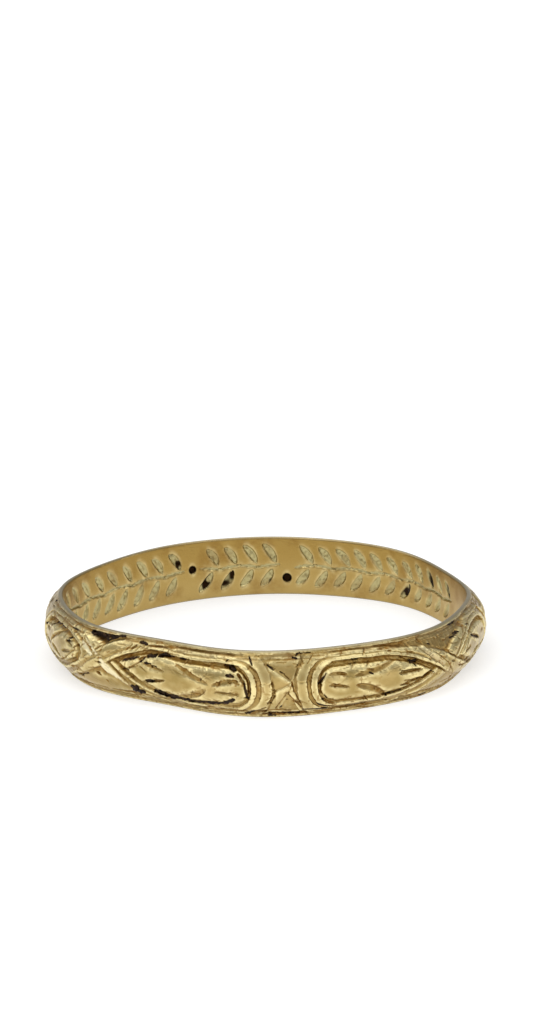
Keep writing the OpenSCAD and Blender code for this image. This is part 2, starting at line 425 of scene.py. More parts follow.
# The hand wanders: edges shift by up to 0.05 mm
hand_b = net_b + (0.030 * noise(net_b, net_v, 0.7, 1)
                  + 0.018 * noise(net_b, net_v, 0.15, 2)) / MM_DEG
hand_v = net_v + 0.026 * noise(net_b, net_v, 0.8, 3) + 0.012 * noise(net_b, net_v, 0.16, 4)
height, foot = relief(hand_b, hand_v)
print("relief from", round(height.min(), 3), "to", round(height.max(), 3), "mm")

# %% [markdown]
# ## Facets
# Where the ribbons cross, and on the front collar, the carver cut flat facets, which flash as
# the ring turns. A facet is a polygon in bearing and height whose corners have levels; a plane is
# fitted through them. Some facets get a painted highlight, pale where they flash, and a last
# number says how pale they are.

# %% Chart and cutting of the facets
Facet = namedtuple("Facet", "corners pale")
FACETS = [
    # The crossing left of the front: two narrow facets above it, and a broad one below
    Facet([(299.8, 0.90, -0.02), (301.7, 0.80, -0.08), (305.6, 0.41, -0.08), (304.8, 0.30, -0.02),
           (301.0, 0.64, -0.02)], 1.0),
    Facet([(299.8, 1.08, -0.02), (301.6, 1.00, -0.05), (307.9, 0.47, -0.05), (306.4, 0.44, -0.01),
           (303.2, 0.76, -0.01)], 1.0),
    Facet([(307.8, 0.40, -0.02), (309.3, 0.36, -0.01), (315.8, -0.34, -0.03),
           (315.4, -0.52, -0.12), (310.2, -0.24, -0.12), (307.9, 0.08, -0.10)], 1.0),
    # The front collar, an hourglass of facets
    Facet([(359.4, 1.00, -0.12), (1.0, 1.22, -0.05), (8.2, 1.20, -0.06), (6.3, 0.62, -0.10),
           (5.4, 0.36, -0.14)], 0.0),
    Facet([(359.6, 0.90, -0.05), (5.3, 0.30, -0.05), (1.2, -0.12, -0.15)], 0.0),
    Facet([(1.3, -0.14, -0.03), (5.4, 0.25, -0.02), (4.5, -0.17, -0.08),
           (1.7, -1.05, -0.12)], 0.05),
    Facet([(4.5, -0.22, -0.09), (7.5, -1.08, -0.15), (2.0, -1.08, -0.15)], 0.0),
    Facet([(5.4, 0.22, -0.04), (6.2, -0.15, -0.06), (8.9, -1.10, -0.12), (7.6, -1.10, -0.05),
           (4.6, -0.17, -0.05)], 0.05),
    # The crossing right of the front
    Facet([(41.0, 0.92, -0.07), (43.2, 0.93, -0.01), (49.7, -0.02, -0.01),
           (48.5, -0.14, -0.07)], 0.35),
    # The crossings behind
    Facet([(129.2, 0.37, -0.01), (137.1, 1.03, -0.01), (140.0, 0.88, -0.07),
           (130.0, 0.25, -0.07)], 0.8),
    Facet([(120.6, -0.42, -0.08), (122.2, -0.52, -0.03), (128.4, 0.08, -0.02),
           (127.4, 0.16, -0.06)], 0.3),
    Facet([(213.8, 0.29, -0.02), (219.6, 0.62, -0.02), (226.0, 0.98, -0.05), (219.0, 0.46, -0.07),
           (214.2, 0.16, -0.06)], 0.5),
    # The ridged collar
    Facet([(85.2, 1.30, -0.06), (90.4, 1.34, -0.06), (89.4, 0.72, -0.16),
           (87.4, 0.76, -0.12)], 0.0),
    Facet([(90.7, 1.25, -0.03), (91.4, 0.76, -0.05), (90.3, 0.12, -0.14),
           (89.6, 0.62, -0.15)], 0.0),
    Facet([(88.9, 0.42, -0.04), (89.9, 0.04, -0.12), (88.4, -0.50, -0.14),
           (86.9, -0.20, -0.05)], 0.0),
    # Round end before the panel
    Facet([(159.3, 1.14, -0.01), (162.4, 1.08, -0.01), (163.7, 0.62, -0.03),
           (161.0, 0.74, -0.08)], 0.5),
    # Beads worn to facets
    Facet([(253.2, 1.12, -0.01), (255.0, 1.10, -0.01), (256.7, 0.72, -0.06),
           (255.0, 0.76, -0.03)], 0.5),
    Facet([(255.2, 0.70, -0.01), (256.8, 0.66, -0.02), (257.6, 0.34, -0.06),
           (256.3, 0.38, -0.03)], 0.5),
    Facet([(257.0, 0.14, -0.02), (258.3, 0.10, -0.03), (258.4, -0.26, -0.06),
           (257.3, -0.26, -0.02)], 0.3),
    Facet([(258.2, 1.06, -0.02), (260.1, 1.00, -0.01), (261.3, 0.70, -0.06),
           (259.7, 0.72, -0.03)], 0.4),
]


# A facet's edge is this wide in mm, as sharp as the net can show, and none spans more degrees
FACET_EDGE = 0.05
FACET_SPAN = 14


def cut_facets(facets, bearing, v, height, pale):
    """Lays each facet's plane over the net, and marks how pale its painted highlight is."""
    for facet in facets:
        corners = np.array(facet.corners)
        first = corners[0, 0]
        cols = np.abs(turn(bearing[:, 0], first)) < FACET_SPAN
        x, y = turn(bearing[cols], first) * MM_DEG, v[cols]
        cx, cy = turn(corners[:, 0], first) * MM_DEG, corners[:, 1]
        plane = np.linalg.lstsq(np.stack([cx, cy, np.ones_like(cx)], 1), corners[:, 2],
                                rcond=None)[0]
        nx, ny = np.roll(cx, -1), np.roll(cy, -1)
        way = np.sign(np.sum(cx * ny - nx * cy))
        length = np.hypot(nx - cx, ny - cy)
        deep = np.min([way * ((x1 - x0) * (y - y0) - (y1 - y0) * (x - x0)) / size
                       for x0, y0, x1, y1, size in zip(cx, cy, nx, ny, length)], axis=0)
        share = smooth(deep / FACET_EDGE + 0.5)
        height[cols] = mix(height[cols], plane[0] * x + plane[1] * y + plane[2], share)
        # Painted highlight: the facet's face is marked pale for the light that it catches
        pale[cols] = np.maximum(pale[cols], facet.pale * smooth(deep / FACET_EDGE))


# How pale each facet is painted, a painted highlight where it flashes
pale = np.zeros_like(height)
cut_facets(FACETS, hand_b, hand_v, height, pale)
print("facets:", len(FACETS))

# %% [markdown]
# ## The graver's cuts
# A graver is a steel bit pushed by hand. It leaves a cut that starts as a point, swells and
# runs out, with a steep wall on one side and a long bright facet on the other. Each cut here is
# one row of a chart: a line from a first to a last bearing and height, and how wide it swells.
# A lean moves the deepest line to one side, and a bow bends the cut. Dirt and enamel stay in
# some of them, so a row also says how brown and how black its floor is.

# %% Chart of the cuts in the leaves
Cut = namedtuple("Cut", "b0 v0 b1 v1 half deep lean bow brown black")
LEAF_CUTS = [
    # Left of the front
    Cut(344.6, 0.03, 351.9, 0.30, 0.11, 0.10, 0.3, 0.02, 0.5, 0.0),
    Cut(345.2, -0.26, 352.4, -0.33, 0.08, 0.10, -0.4, 0.02, 0.6, 0.3),
    Cut(343.8, 0.05, 333.2, 0.70, 0.13, 0.10, -0.5, 0.04, 0.6, 0.0),
    Cut(343.2, -0.17, 334.6, -0.66, 0.20, 0.11, 0.5, 0.10, 0.5, 0.0),
    Cut(330.4, -0.08, 323.0, -0.28, 0.08, 0.10, 0.0, 0.02, 0.6, 0.3),
    Cut(330.2, 0.30, 322.5, 0.50, 0.08, 0.10, 0.0, 0.02, 0.6, 0.2),
    # Right of the front
    Cut(14.9, 0.44, 19.9, 0.40, 0.10, 0.10, 0.4, 0.03, 0.6, 0.0),
    Cut(14.8, 0.00, 20.5, -0.18, 0.08, 0.10, -0.3, 0.03, 0.6, 0.1),
    Cut(21.6, 0.28, 34.0, 0.72, 0.16, 0.11, -0.5, -0.05, 0.6, 0.1),
    Cut(22.0, -0.12, 30.6, -0.80, 0.19, 0.12, 0.4, 0.09, 0.7, 0.0),
    Cut(33.8, 0.12, 41.0, 0.05, 0.10, 0.10, 0.0, 0.02, 0.7, 0.2),
    Cut(34.4, -0.50, 41.0, -0.30, 0.10, 0.10, 0.0, 0.02, 0.7, 0.2),
    Cut(41.0, -0.34, 44.0, -0.20, 0.12, 0.09, 0.0, 0.00, 0.6, 0.0),
    # Right side
    Cut(74.8, 0.18, 78.6, 0.18, 0.14, 0.05, 0.0, 0.00, 0.4, 0.0),
    Cut(73.8, -0.48, 79.9, -0.50, 0.08, 0.09, 0.3, 0.02, 0.7, 0.3),
    Cut(72.9, 0.03, 65.6, 0.47, 0.13, 0.11, -0.5, 0.00, 0.5, 0.0),
    Cut(72.7, -0.28, 65.4, -0.70, 0.12, 0.11, 0.4, 0.03, 0.5, 0.0),
    Cut(64.7, -0.50, 60.2, -0.50, 0.07, 0.08, 0.0, 0.02, 0.6, 0.0),
    Cut(64.2, 0.02, 60.2, 0.00, 0.06, 0.08, 0.0, 0.02, 0.6, 0.0),
    # Behind the plain border
    Cut(99.0, 0.42, 104.0, 0.18, 0.10, 0.10, 0.3, 0.03, 0.6, 0.0),
    Cut(98.3, -0.24, 104.2, -0.24, 0.10, 0.10, -0.2, 0.02, 0.7, 0.0),
    Cut(105.8, 0.13, 112.4, 0.74, 0.15, 0.11, 0.5, -0.08, 0.6, 0.0),
    Cut(105.8, -0.18, 114.2, -0.37, 0.14, 0.11, -0.3, 0.04, 0.8, 0.0),
    Cut(114.2, 0.30, 117.1, 0.32, 0.07, 0.09, 0.0, 0.00, 0.7, 0.0),
    Cut(114.6, -0.04, 119.0, -0.02, 0.07, 0.09, 0.0, 0.02, 0.7, 0.0),
    # Before the panel
    Cut(155.1, 0.10, 159.7, 0.26, 0.10, 0.09, 0.0, 0.03, 0.7, 0.0),
    Cut(154.5, -0.30, 158.5, -0.33, 0.08, 0.09, 0.0, 0.02, 0.7, 0.3),
    Cut(154.4, 0.18, 146.0, 0.62, 0.11, 0.10, -0.4, 0.03, 0.5, 0.0),
    Cut(152.6, -0.02, 146.8, -0.44, 0.14, 0.09, 0.4, 0.05, 0.4, 0.0),
    Cut(143.8, 0.02, 139.8, 0.00, 0.09, 0.08, 0.0, 0.04, 0.5, 0.0),
    Cut(142.2, 0.48, 134.8, 0.52, 0.08, 0.08, 0.0, 0.02, 0.6, 0.0),
    # Past the panel
    Cut(183.7, 0.42, 187.4, 0.42, 0.12, 0.09, 0.0, 0.02, 0.3, 0.0),
    Cut(182.3, -0.05, 186.8, -0.28, 0.14, 0.09, 0.3, -0.05, 0.5, 0.0),
    Cut(189.5, 0.27, 196.8, 0.57, 0.14, 0.11, -0.4, -0.07, 0.7, 0.1),
    Cut(189.5, 0.00, 196.0, -0.47, 0.14, 0.11, 0.4, 0.08, 0.7, 0.0),
    Cut(197.6, 0.28, 201.4, 0.30, 0.07, 0.09, 0.0, 0.02, 0.7, 0.2),
    Cut(197.0, -0.18, 202.6, -0.16, 0.09, 0.09, 0.0, 0.02, 0.6, 0.0),
    # Behind on the right
    Cut(244.4, 0.16, 249.4, 0.24, 0.11, 0.10, 0.2, 0.02, 0.7, 0.1),
    Cut(244.0, -0.32, 247.1, -0.32, 0.09, 0.09, 0.0, 0.00, 0.6, 0.8),
    Cut(242.2, 0.22, 236.0, 0.76, 0.14, 0.11, -0.4, 0.02, 0.8, 0.1),
    Cut(236.5, 0.47, 234.4, 0.76, 0.08, 0.09, 0.0, 0.00, 0.7, 0.1),
    Cut(242.7, -0.30, 231.0, -0.62, 0.16, 0.10, 0.5, 0.12, 0.4, 0.0),
    Cut(232.3, -0.10, 225.2, -0.12, 0.08, 0.09, 0.0, 0.04, 0.6, 0.0),
    Cut(233.1, 0.22, 228.1, 0.42, 0.07, 0.08, 0.0, 0.02, 0.6, 0.0),
    # The hollow of the beaded collar
    Cut(265.8, 1.45, 265.8, -1.45, 0.58, 0.06, 0.0, 0.00, 0.1, 0.0),
    # Left side
    Cut(275.3, 0.40, 279.2, 0.38, 0.11, 0.06, 0.0, 0.00, 0.3, 0.0),
    Cut(275.3, -0.08, 280.7, -0.14, 0.09, 0.09, 0.0, 0.00, 0.6, 0.1),
    Cut(280.9, 0.03, 289.9, 0.82, 0.13, 0.11, 0.4, 0.04, 0.6, 0.0),
    Cut(282.0, -0.08, 289.5, -0.38, 0.13, 0.10, -0.4, 0.04, 0.5, 0.0),
    Cut(292.3, 0.53, 296.6, 0.42, 0.08, 0.08, 0.0, 0.00, 0.6, 0.4),
    Cut(290.5, -0.01, 295.7, 0.16, 0.09, 0.09, 0.0, 0.02, 0.6, 0.0),
]


# %% [markdown]
# ## Nicks, lines and remnants
# Between the leaves lie the smaller marks: scored lines, nicks, and the places where black
# enamel has held on. They are charted from pictures of the ring's four sides, each as a
# short straight stroke. A negative depth is a raised line.

# %% Chart of the small strokes
Line = namedtuple("Line", "b0 v0 b1 v1 half deep brown black")
# Stains that recur: the stroke's depth in mm, and how brown and how black it is
ENAMEL = (0.06, 0.6, 1.0)
THICK = (0.06, 0.8, 1.0)
DIRTY = (0.07, 0.9, 0.5)
BARE = (0.05, 0.8, 0.0)
# Bearing and height where each stroke starts and ends, half its width, and depth and stain
LINES = [Line(*row) for row in [
    # Left of the front
    (302.1, 1.23, 306.7, 1.17, 0.08, *ENAMEL), (306.3, 1.20, 310.0, 1.19, 0.09, 0.08, 0.9, 0.9),
    (309.6, 1.23, 314.3, 1.35, 0.05, *ENAMEL), (304.6, 1.06, 308.8, 1.04, 0.04, 0.05, 0.9, 0.3),
    (319.7, 1.23, 322.6, 1.20, 0.06, *ENAMEL), (315.8, 0.42, 318.3, 0.56, 0.04, *THICK),
    (318.3, 0.55, 321.1, 0.69, 0.045, *THICK), (321.3, 0.63, 323.8, 0.78, 0.04, *DIRTY),
    (323.6, 0.77, 326.6, 0.84, 0.06, *THICK), (327.3, 0.86, 329.8, 0.92, 0.06, *THICK),
    (329.6, 0.90, 332.1, 0.89, 0.045, *ENAMEL), (321.8, 0.52, 323.1, 0.69, 0.03, *ENAMEL),
    (323.3, 0.52, 325.5, 0.51, 0.04, *ENAMEL), (325.2, 0.52, 326.0, 0.36, 0.03, *DIRTY),
    (325.8, 0.46, 327.6, 0.43, 0.03, *ENAMEL), (334.0, 0.88, 336.2, 0.88, 0.04, *ENAMEL),
    (348.0, 0.86, 350.0, 0.83, 0.05, 0.07, 0.9, 0.7), (349.5, 0.82, 351.3, 0.72, 0.07, *THICK),
    (348.8, 0.52, 350.8, 0.48, 0.06, *THICK), (351.9, 0.59, 353.7, 0.21, 0.06, 0.07, 1.0, 0.6),
    (353.5, 0.23, 354.4, -0.47, 0.04, 0.06, 0.9, 0.9), (323.7, -0.26, 326.4, -0.21, 0.06, *ENAMEL),
    (326.4, -0.21, 329.8, -0.09, 0.03, *BARE), (326.0, -0.69, 329.3, -0.77, 0.08, *THICK),
    (328.8, -0.76, 334.6, -0.83, 0.09, *THICK), (334.4, -0.83, 338.3, -0.87, 0.06, *THICK),
    (337.9, -0.86, 347.6, -0.76, 0.06, *THICK), (347.3, -0.77, 350.8, -0.52, 0.08, *THICK),
    (318.0, -0.70, 320.4, -0.76, 0.11, 0.05, 0.8, 1.0),
    (319.0, -0.80, 322.3, -0.87, 0.10, 0.05, 0.8, 1.0), (297.3, -0.82, 300.2, -0.66, 0.03, *DIRTY),
    (300.0, -0.68, 303.4, -0.52, 0.03, *ENAMEL), (306.3, -0.35, 307.8, -0.37, 0.03, *DIRTY),
    (315.8, 0.05, 318.4, 0.08, 0.03, *ENAMEL), (319.2, -0.03, 320.1, -0.13, 0.03, *DIRTY),
    (297.5, 0.48, 298.4, 0.52, 0.04, *DIRTY), (309.5, -0.63, 310.3, -0.67, 0.03, *BARE),
    (353.3, -1.25, 355.9, -1.06, 0.04, *ENAMEL), (355.6, -1.09, 359.0, -0.86, 0.03, 0.06, 0.8, 0.5),
    (353.4, -1.18, 358.8, -1.06, 0.10, 0.08, 1.0, 0.4),
    (359.6, -1.20, 9.6, -1.22, 0.08, 0.06, 0.9, 0.3),
    (316.2, 0.88, 317.7, 1.12, 0.05, 0.05, 0.3, 0.0),
    (317.6, 0.86, 319.1, 1.10, 0.05, 0.05, 0.3, 0.0),
    (319.0, 0.88, 320.4, 1.10, 0.05, 0.05, 0.3, 0.0),
    (320.4, 0.90, 321.7, 1.10, 0.05, 0.05, 0.3, 0.0),
    (321.8, 0.94, 323.0, 1.12, 0.05, 0.05, 0.3, 0.0), (0.0, -0.67, 1.2, -0.31, 0.03, *DIRTY),
    (357.9, -1.24, 1.3, -1.20, 0.03, *DIRTY), (354.7, 1.25, 355.6, 0.94, 0.03, *ENAMEL),
    (359.5, 0.92, 1.2, 0.75, 0.02, *ENAMEL), (354.8, 0.92, 356.7, 0.66, 0.03, *BARE),
    (317.5, 0.12, 321.8, 0.52, 0.02, *BARE), (318.3, 0.23, 321.3, 0.34, 0.02, *BARE),
    (320.2, -0.12, 323.8, -0.57, 0.04, *BARE), (322.9, -0.32, 326.3, -0.50, 0.04, 0.05, 0.7, 0.1),
    (321.8, 0.37, 324.2, 0.16, 0.02, 0.05, 0.5, 0.1),
    (322.9, 1.16, 335.4, 1.29, 0.04, 0.04, 0.8, 0.0),
    (335.0, 1.28, 354.2, 1.23, 0.04, 0.04, 0.7, 0.0),
    (340.4, 1.07, 353.3, 1.00, 0.01, 0.03, 0.5, 0.0),
    (325.0, 1.30, 327.9, 1.33, 0.02, 0.03, 0.7, 0.2),
    (300.6, 0.94, 306.2, 0.41, 0.03, 0.06, 0.9, 0.0),
    (309.2, 0.16, 311.6, -0.04, 0.012, 0.02, 0.4, 0.0),
    (309.8, -0.03, 311.2, -0.14, 0.012, 0.02, 0.4, 0.0),
    (311.6, 0.06, 312.6, -0.04, 0.012, 0.02, 0.4, 0.0),
    (311.3, 0.26, 318.0, -0.59, 0.03, 0.06, 0.8, 0.0), (346.5, -1.06, 350.4, -0.93, 0.03, *BARE),
    (345.8, -1.33, 350.4, -1.28, 0.02, *BARE), (350.8, 0.23, 352.3, 0.19, 0.04, 0.05, 0.7, 0.2),
    (337.3, 0.99, 338.3, 0.88, 0.01, 0.03, 0.6, 0.0),
    (334.8, 1.32, 335.6, 1.09, 0.01, 0.03, 0.6, 0.2), (319.6, -1.26, 321.3, -1.28, 0.02, *BARE),
    (317.9, -1.09, 319.6, -1.14, 0.02, *BARE),
    # The front collar and right of it
    (359.3, 0.94, 1.8, 0.77, 0.02, *DIRTY), (2.7, 0.69, 3.9, 0.59, 0.03, *ENAMEL),
    (3.8, 0.56, 5.3, 0.32, 0.02, *DIRTY), (359.3, -0.70, 1.0, -0.27, 0.04, *DIRTY),
    (1.0, -0.21, 1.2, -0.13, 0.02, *BARE), (1.3, -0.93, 4.3, -0.18, 0.03, *BARE),
    (4.3, -0.18, 8.2, -0.95, 0.03, *BARE), (2.4, -0.90, 2.9, -0.82, 0.03, *ENAMEL),
    (3.9, -0.51, 4.6, -0.47, 0.02, *DIRTY), (5.5, 0.29, 6.1, -0.15, 0.03, *BARE),
    (6.1, -0.15, 8.3, -0.89, 0.02, *BARE), (6.1, 1.20, 7.3, 1.13, 0.03, *ENAMEL),
    (7.0, 1.22, 8.2, 1.36, 0.02, *ENAMEL), (8.3, 1.32, 8.7, 0.94, 0.03, *BARE),
    (7.4, 0.77, 6.0, 0.33, 0.02, *BARE), (359.3, -1.30, 1.4, -1.32, 0.04, *ENAMEL),
    (1.8, -1.18, 7.8, -1.24, 0.04, *ENAMEL), (7.5, -1.14, 10.2, -1.27, 0.03, *DIRTY),
    (0.5, 0.30, 1.2, -0.13, 0.03, *BARE), (359.3, 1.17, 3.8, 1.14, 0.02, 0.03, 0.5, 0.0),
    (12.3, 0.04, 14.4, 0.52, 0.03, *ENAMEL), (11.8, 1.28, 9.8, 0.94, 0.02, *BARE),
    (11.7, -0.74, 14.8, -0.98, 0.02, *ENAMEL), (13.0, -0.90, 16.8, -1.01, 0.03, *DIRTY),
    (15.1, -1.09, 22.0, -1.14, 0.05, 0.05, 0.8, 0.3),
    (22.6, -1.09, 30.9, -1.14, 0.04, 0.04, 0.7, 0.1), (15.1, 0.66, 17.2, 0.84, 0.02, *BARE),
    (29.9, -0.80, 35.1, -0.72, 0.03, *ENAMEL), (37.3, 0.43, 39.3, 0.43, 0.03, *ENAMEL),
    (37.9, 0.55, 39.1, 0.26, 0.03, *ENAMEL), (37.4, 0.52, 38.3, 0.39, 0.02, *ENAMEL),
    (34.1, 0.26, 36.0, 0.11, 0.02, *DIRTY), (34.4, 0.06, 40.4, 0.10, 0.05, 0.06, 0.8, 0.2),
    (40.1, 0.11, 41.1, 0.04, 0.01, *DIRTY), (34.5, -0.45, 37.3, -0.48, 0.04, 0.06, 0.9, 0.5),
    (35.6, -0.29, 40.9, -0.38, 0.05, *BARE), (40.5, -0.37, 43.9, -0.18, 0.07, 0.05, 0.7, 0.1),
    (43.8, -0.09, 44.9, -0.25, 0.02, *ENAMEL), (35.5, 0.74, 39.3, 0.33, 0.03, *BARE),
    (35.0, -0.72, 44.6, -0.32, 0.02, *BARE), (42.2, 1.28, 43.5, 1.01, 0.03, *BARE),
    (57.0, 1.28, 61.0, 1.20, 0.06, *ENAMEL), (57.8, 1.32, 58.8, 1.19, 0.04, *ENAMEL),
    (42.6, 1.28, 56.8, 1.25, 0.03, 0.05, 0.7, 0.0), (51.3, 0.84, 59.3, 0.92, 0.03, 0.05, 0.8, 0.2),
    (54.5, 0.81, 56.5, 0.80, 0.03, *ENAMEL), (52.1, -0.06, 53.9, -0.11, 0.03, *DIRTY),
    (42.6, -1.30, 45.2, -1.31, 0.02, *ENAMEL), (30.5, -1.11, 32.2, -1.15, 0.03, *DIRTY),
    (28.4, 0.29, 29.3, 0.33, 0.01, 0.03, 0.6, 0.2), (30.3, 0.10, 31.3, 0.23, 0.01, 0.03, 0.6, 0.1),
    (25.9, 0.33, 26.8, 0.26, 0.03, *ENAMEL), (15.9, 1.17, 22.6, 1.20, 0.01, 0.03, 0.6, 0.0),
    (22.6, 1.20, 37.0, 1.13, 0.01, 0.03, 0.5, 0.0), (17.2, 1.26, 30.9, 1.32, 0.01, 0.03, 0.4, 0.0),
    # Left side, past the beaded collar
    (269.5, 1.22, 271.0, 1.28, 0.03, *ENAMEL), (270.9, 1.09, 273.4, 1.12, 0.02, *ENAMEL),
    (263.2, 1.04, 264.5, 0.94, 0.03, *ENAMEL), (280.5, 0.78, 284.1, 0.85, 0.05, *ENAMEL),
    (283.9, 0.84, 288.2, 0.88, 0.04, *ENAMEL), (273.6, -0.27, 276.4, -0.44, 0.05, *ENAMEL),
    (275.5, -0.43, 278.4, -0.60, 0.08, *ENAMEL), (278.0, -0.59, 280.9, -0.67, 0.06, *ENAMEL),
    (275.7, -0.21, 276.5, -0.40, 0.05, *ENAMEL), (272.7, 0.39, 273.4, 0.33, 0.03, *ENAMEL),
    (275.5, -0.03, 276.7, -0.05, 0.03, *DIRTY), (292.7, 0.52, 294.3, 0.55, 0.06, *ENAMEL),
    (294.3, 0.55, 295.4, 0.58, 0.03, *DIRTY), (297.4, 0.52, 298.0, 0.46, 0.03, *DIRTY),
    (296.8, 0.37, 297.7, 0.52, 0.03, *DIRTY), (270.7, -0.66, 271.5, -0.86, 0.04, *ENAMEL),
    (280.9, -0.69, 287.2, -0.60, 0.03, *DIRTY), (287.2, -0.59, 292.2, -0.29, 0.03, *BARE),
    (292.2, -0.29, 297.3, 0.29, 0.03, *BARE), (270.9, 0.88, 271.4, -0.13, 0.02, *BARE),
    (271.2, -0.13, 273.0, -0.83, 0.03, *BARE), (301.4, 1.23, 303.9, 1.10, 0.05, *ENAMEL),
    (303.7, 1.12, 308.9, 1.02, 0.08, 0.08, 0.9, 0.9), (308.4, 1.04, 311.4, 1.22, 0.04, *ENAMEL),
    (298.9, -0.82, 300.4, -0.73, 0.03, *ENAMEL), (294.1, -1.20, 301.8, -1.14, 0.04, 0.05, 0.8, 0.3),
    (306.9, -0.38, 308.3, -0.45, 0.03, *DIRTY), (273.0, 0.21, 273.9, -0.18, 0.02, *BARE),
    (274.5, 0.27, 274.9, -0.13, 0.02, *BARE), (276.0, 0.52, 278.0, 0.69, 0.02, *BARE),
    (275.5, 1.23, 283.9, 1.29, 0.02, 0.03, 0.5, 0.0),
    (278.0, 1.06, 290.1, 1.13, 0.02, 0.03, 0.5, 0.0),
    (256.4, 1.05, 258.4, 0.30, 0.04, 0.07, 0.8, 0.0),
    (258.4, 0.30, 258.4, -0.45, 0.04, 0.07, 0.7, 0.0),
    (258.4, -0.45, 256.9, -1.10, 0.04, 0.06, 0.8, 0.1),
    (258.0, 1.08, 260.4, 0.72, 0.07, -0.05, 0.0, 0.0),
    (260.6, 0.50, 261.4, -0.10, 0.07, -0.05, 0.0, 0.0),
    (261.4, -0.35, 260.6, -0.85, 0.06, -0.04, 0.0, 0.0),
    (260.9, 1.05, 262.6, 0.30, 0.03, 0.06, 0.8, 0.0),
    (262.6, 0.30, 262.6, -0.80, 0.03, 0.05, 0.7, 0.0),
    (296.4, 1.28, 298.0, 1.13, 0.02, 0.04, 0.7, 0.2), (246.3, 0.90, 249.7, 0.88, 0.03, *ENAMEL),
    (248.8, 0.19, 253.5, 0.29, 0.05, *DIRTY), (247.6, -0.35, 252.2, -0.27, 0.06, *ENAMEL),
    (250.5, -0.50, 253.8, -0.29, 0.03, *DIRTY), (261.4, -0.79, 262.4, -0.67, 0.03, *DIRTY),
    (276.8, -1.05, 283.9, -1.09, 0.04, 0.04, 0.7, 0.2),
    # Behind on the left
    (163.5, -0.16, 165.1, -0.13, 0.04, *ENAMEL), (165.3, 1.17, 171.0, 1.13, 0.05, 0.06, 0.9, 0.6),
    (174.2, 0.59, 174.7, 0.39, 0.04, *ENAMEL), (182.8, 0.81, 183.5, 0.75, 0.03, *DIRTY),
    (174.5, -1.17, 177.7, -1.22, 0.05, *ENAMEL), (176.2, 1.13, 178.5, 1.17, 0.03, *DIRTY),
    (156.6, -0.31, 158.5, -0.34, 0.06, *ENAMEL), (154.4, -0.29, 156.6, -0.28, 0.03, *DIRTY),
    (155.5, 0.11, 159.5, 0.23, 0.05, *DIRTY), (164.5, 0.96, 165.2, -0.57, 0.02, *DIRTY),
    (159.5, -1.21, 165.3, -0.50, 0.05, *ENAMEL), (152.0, -1.21, 159.5, -1.20, 0.03, *DIRTY),
    (167.4, 0.08, 168.4, 0.24, 0.03, *DIRTY), (167.8, -0.35, 169.1, -0.27, 0.03, *DIRTY),
    (171.7, -0.13, 172.8, -0.29, 0.03, *DIRTY), (166.2, 0.88, 168.0, 0.30, 0.03, *BARE),
    (163.0, 1.32, 166.2, 0.66, 0.04, -0.05, 0.0, 0.0),
    (166.2, 0.66, 168.0, 0.34, 0.04, -0.04, 0.0, 0.0), (176.6, 1.03, 176.2, -0.28, 0.02, *BARE),
    (176.7, -0.29, 178.3, -1.09, 0.02, *BARE), (182.0, 1.16, 179.5, 0.82, 0.04, 0.06, 0.8, 0.0),
    (179.5, 0.82, 178.5, 0.20, 0.04, 0.06, 0.8, 0.0),
    (178.5, 0.20, 178.6, -0.45, 0.04, 0.06, 0.8, 0.0),
    (178.6, -0.45, 180.4, -0.96, 0.04, 0.06, 0.8, 0.0), (179.9, 0.75, 184.1, 0.96, 0.02, *BARE),
    (184.1, 0.94, 189.5, 0.88, 0.02, *BARE), (182.0, 0.07, 182.8, -0.50, 0.03, *BARE),
    (182.8, -0.50, 188.7, -0.54, 0.03, *BARE), (188.7, -0.56, 197.8, -0.50, 0.03, *BARE),
    (189.8, 0.30, 196.6, 0.52, 0.07, 0.08, 0.8, 0.1),
    (190.2, 0.03, 195.6, -0.45, 0.06, 0.08, 0.8, 0.0), (198.2, 0.26, 201.2, 0.27, 0.03, *DIRTY),
    (197.5, -0.18, 201.2, -0.16, 0.04, *BARE), (184.5, -1.09, 197.0, -1.05, 0.09, 0.06, 1.0, 0.1),
    (195.8, -1.28, 197.7, -1.21, 0.03, *ENAMEL), (187.0, 1.32, 196.2, 1.33, 0.02, 0.05, 0.5, 0.3),
    (179.1, 0.07, 181.0, 0.07, 0.04, 0.05, 0.7, 0.4), (177.4, 0.52, 178.7, 0.66, 0.03, *DIRTY),
    (180.8, 1.07, 181.6, 1.00, 0.03, *DIRTY), (147.0, 0.74, 157.0, 0.75, 0.03, *BARE),
    (157.0, 0.75, 160.3, 0.30, 0.03, *BARE), (147.0, -0.51, 155.3, -0.61, 0.03, *BARE),
    (155.3, -0.61, 161.2, -0.21, 0.02, *BARE), (170.3, 0.52, 172.0, 0.45, 0.02, 0.04, 0.5, 0.1),
    (169.5, 0.16, 170.3, -0.57, 0.02, 0.04, 0.5, 0.0),
    # Behind on the right
    (217.2, 1.28, 224.5, 1.26, 0.03, *ENAMEL), (207.7, 1.25, 217.1, 1.28, 0.03, *DIRTY),
    (209.2, 1.17, 212.5, 0.81, 0.04, 0.05, 0.7, 0.3),
    (214.2, 0.96, 220.4, 1.03, 0.05, 0.04, 0.7, 0.3),
    (207.3, 1.19, 213.3, 0.64, 0.04, -0.05, 0.0, 0.0),
    (213.3, 0.64, 219.4, 0.86, 0.04, -0.05, 0.0, 0.0),
    (219.4, 0.86, 225.0, 1.19, 0.04, -0.05, 0.0, 0.0), (203.5, 1.15, 207.5, 0.88, 0.03, *BARE),
    (207.5, 0.88, 212.6, 0.14, 0.04, 0.07, 0.9, 0.0),
    (212.6, 0.14, 215.8, 0.45, 0.04, 0.07, 0.9, 0.0),
    (212.6, 0.12, 215.8, -0.28, 0.04, 0.07, 0.9, 0.0),
    (215.8, -0.28, 220.8, -0.64, 0.04, 0.06, 0.8, 0.0),
    (220.8, -0.64, 223.8, -0.86, 0.03, 0.05, 0.8, 0.1),
    (205.5, -1.10, 212.3, -0.50, 0.04, -0.04, 0.0, 0.0),
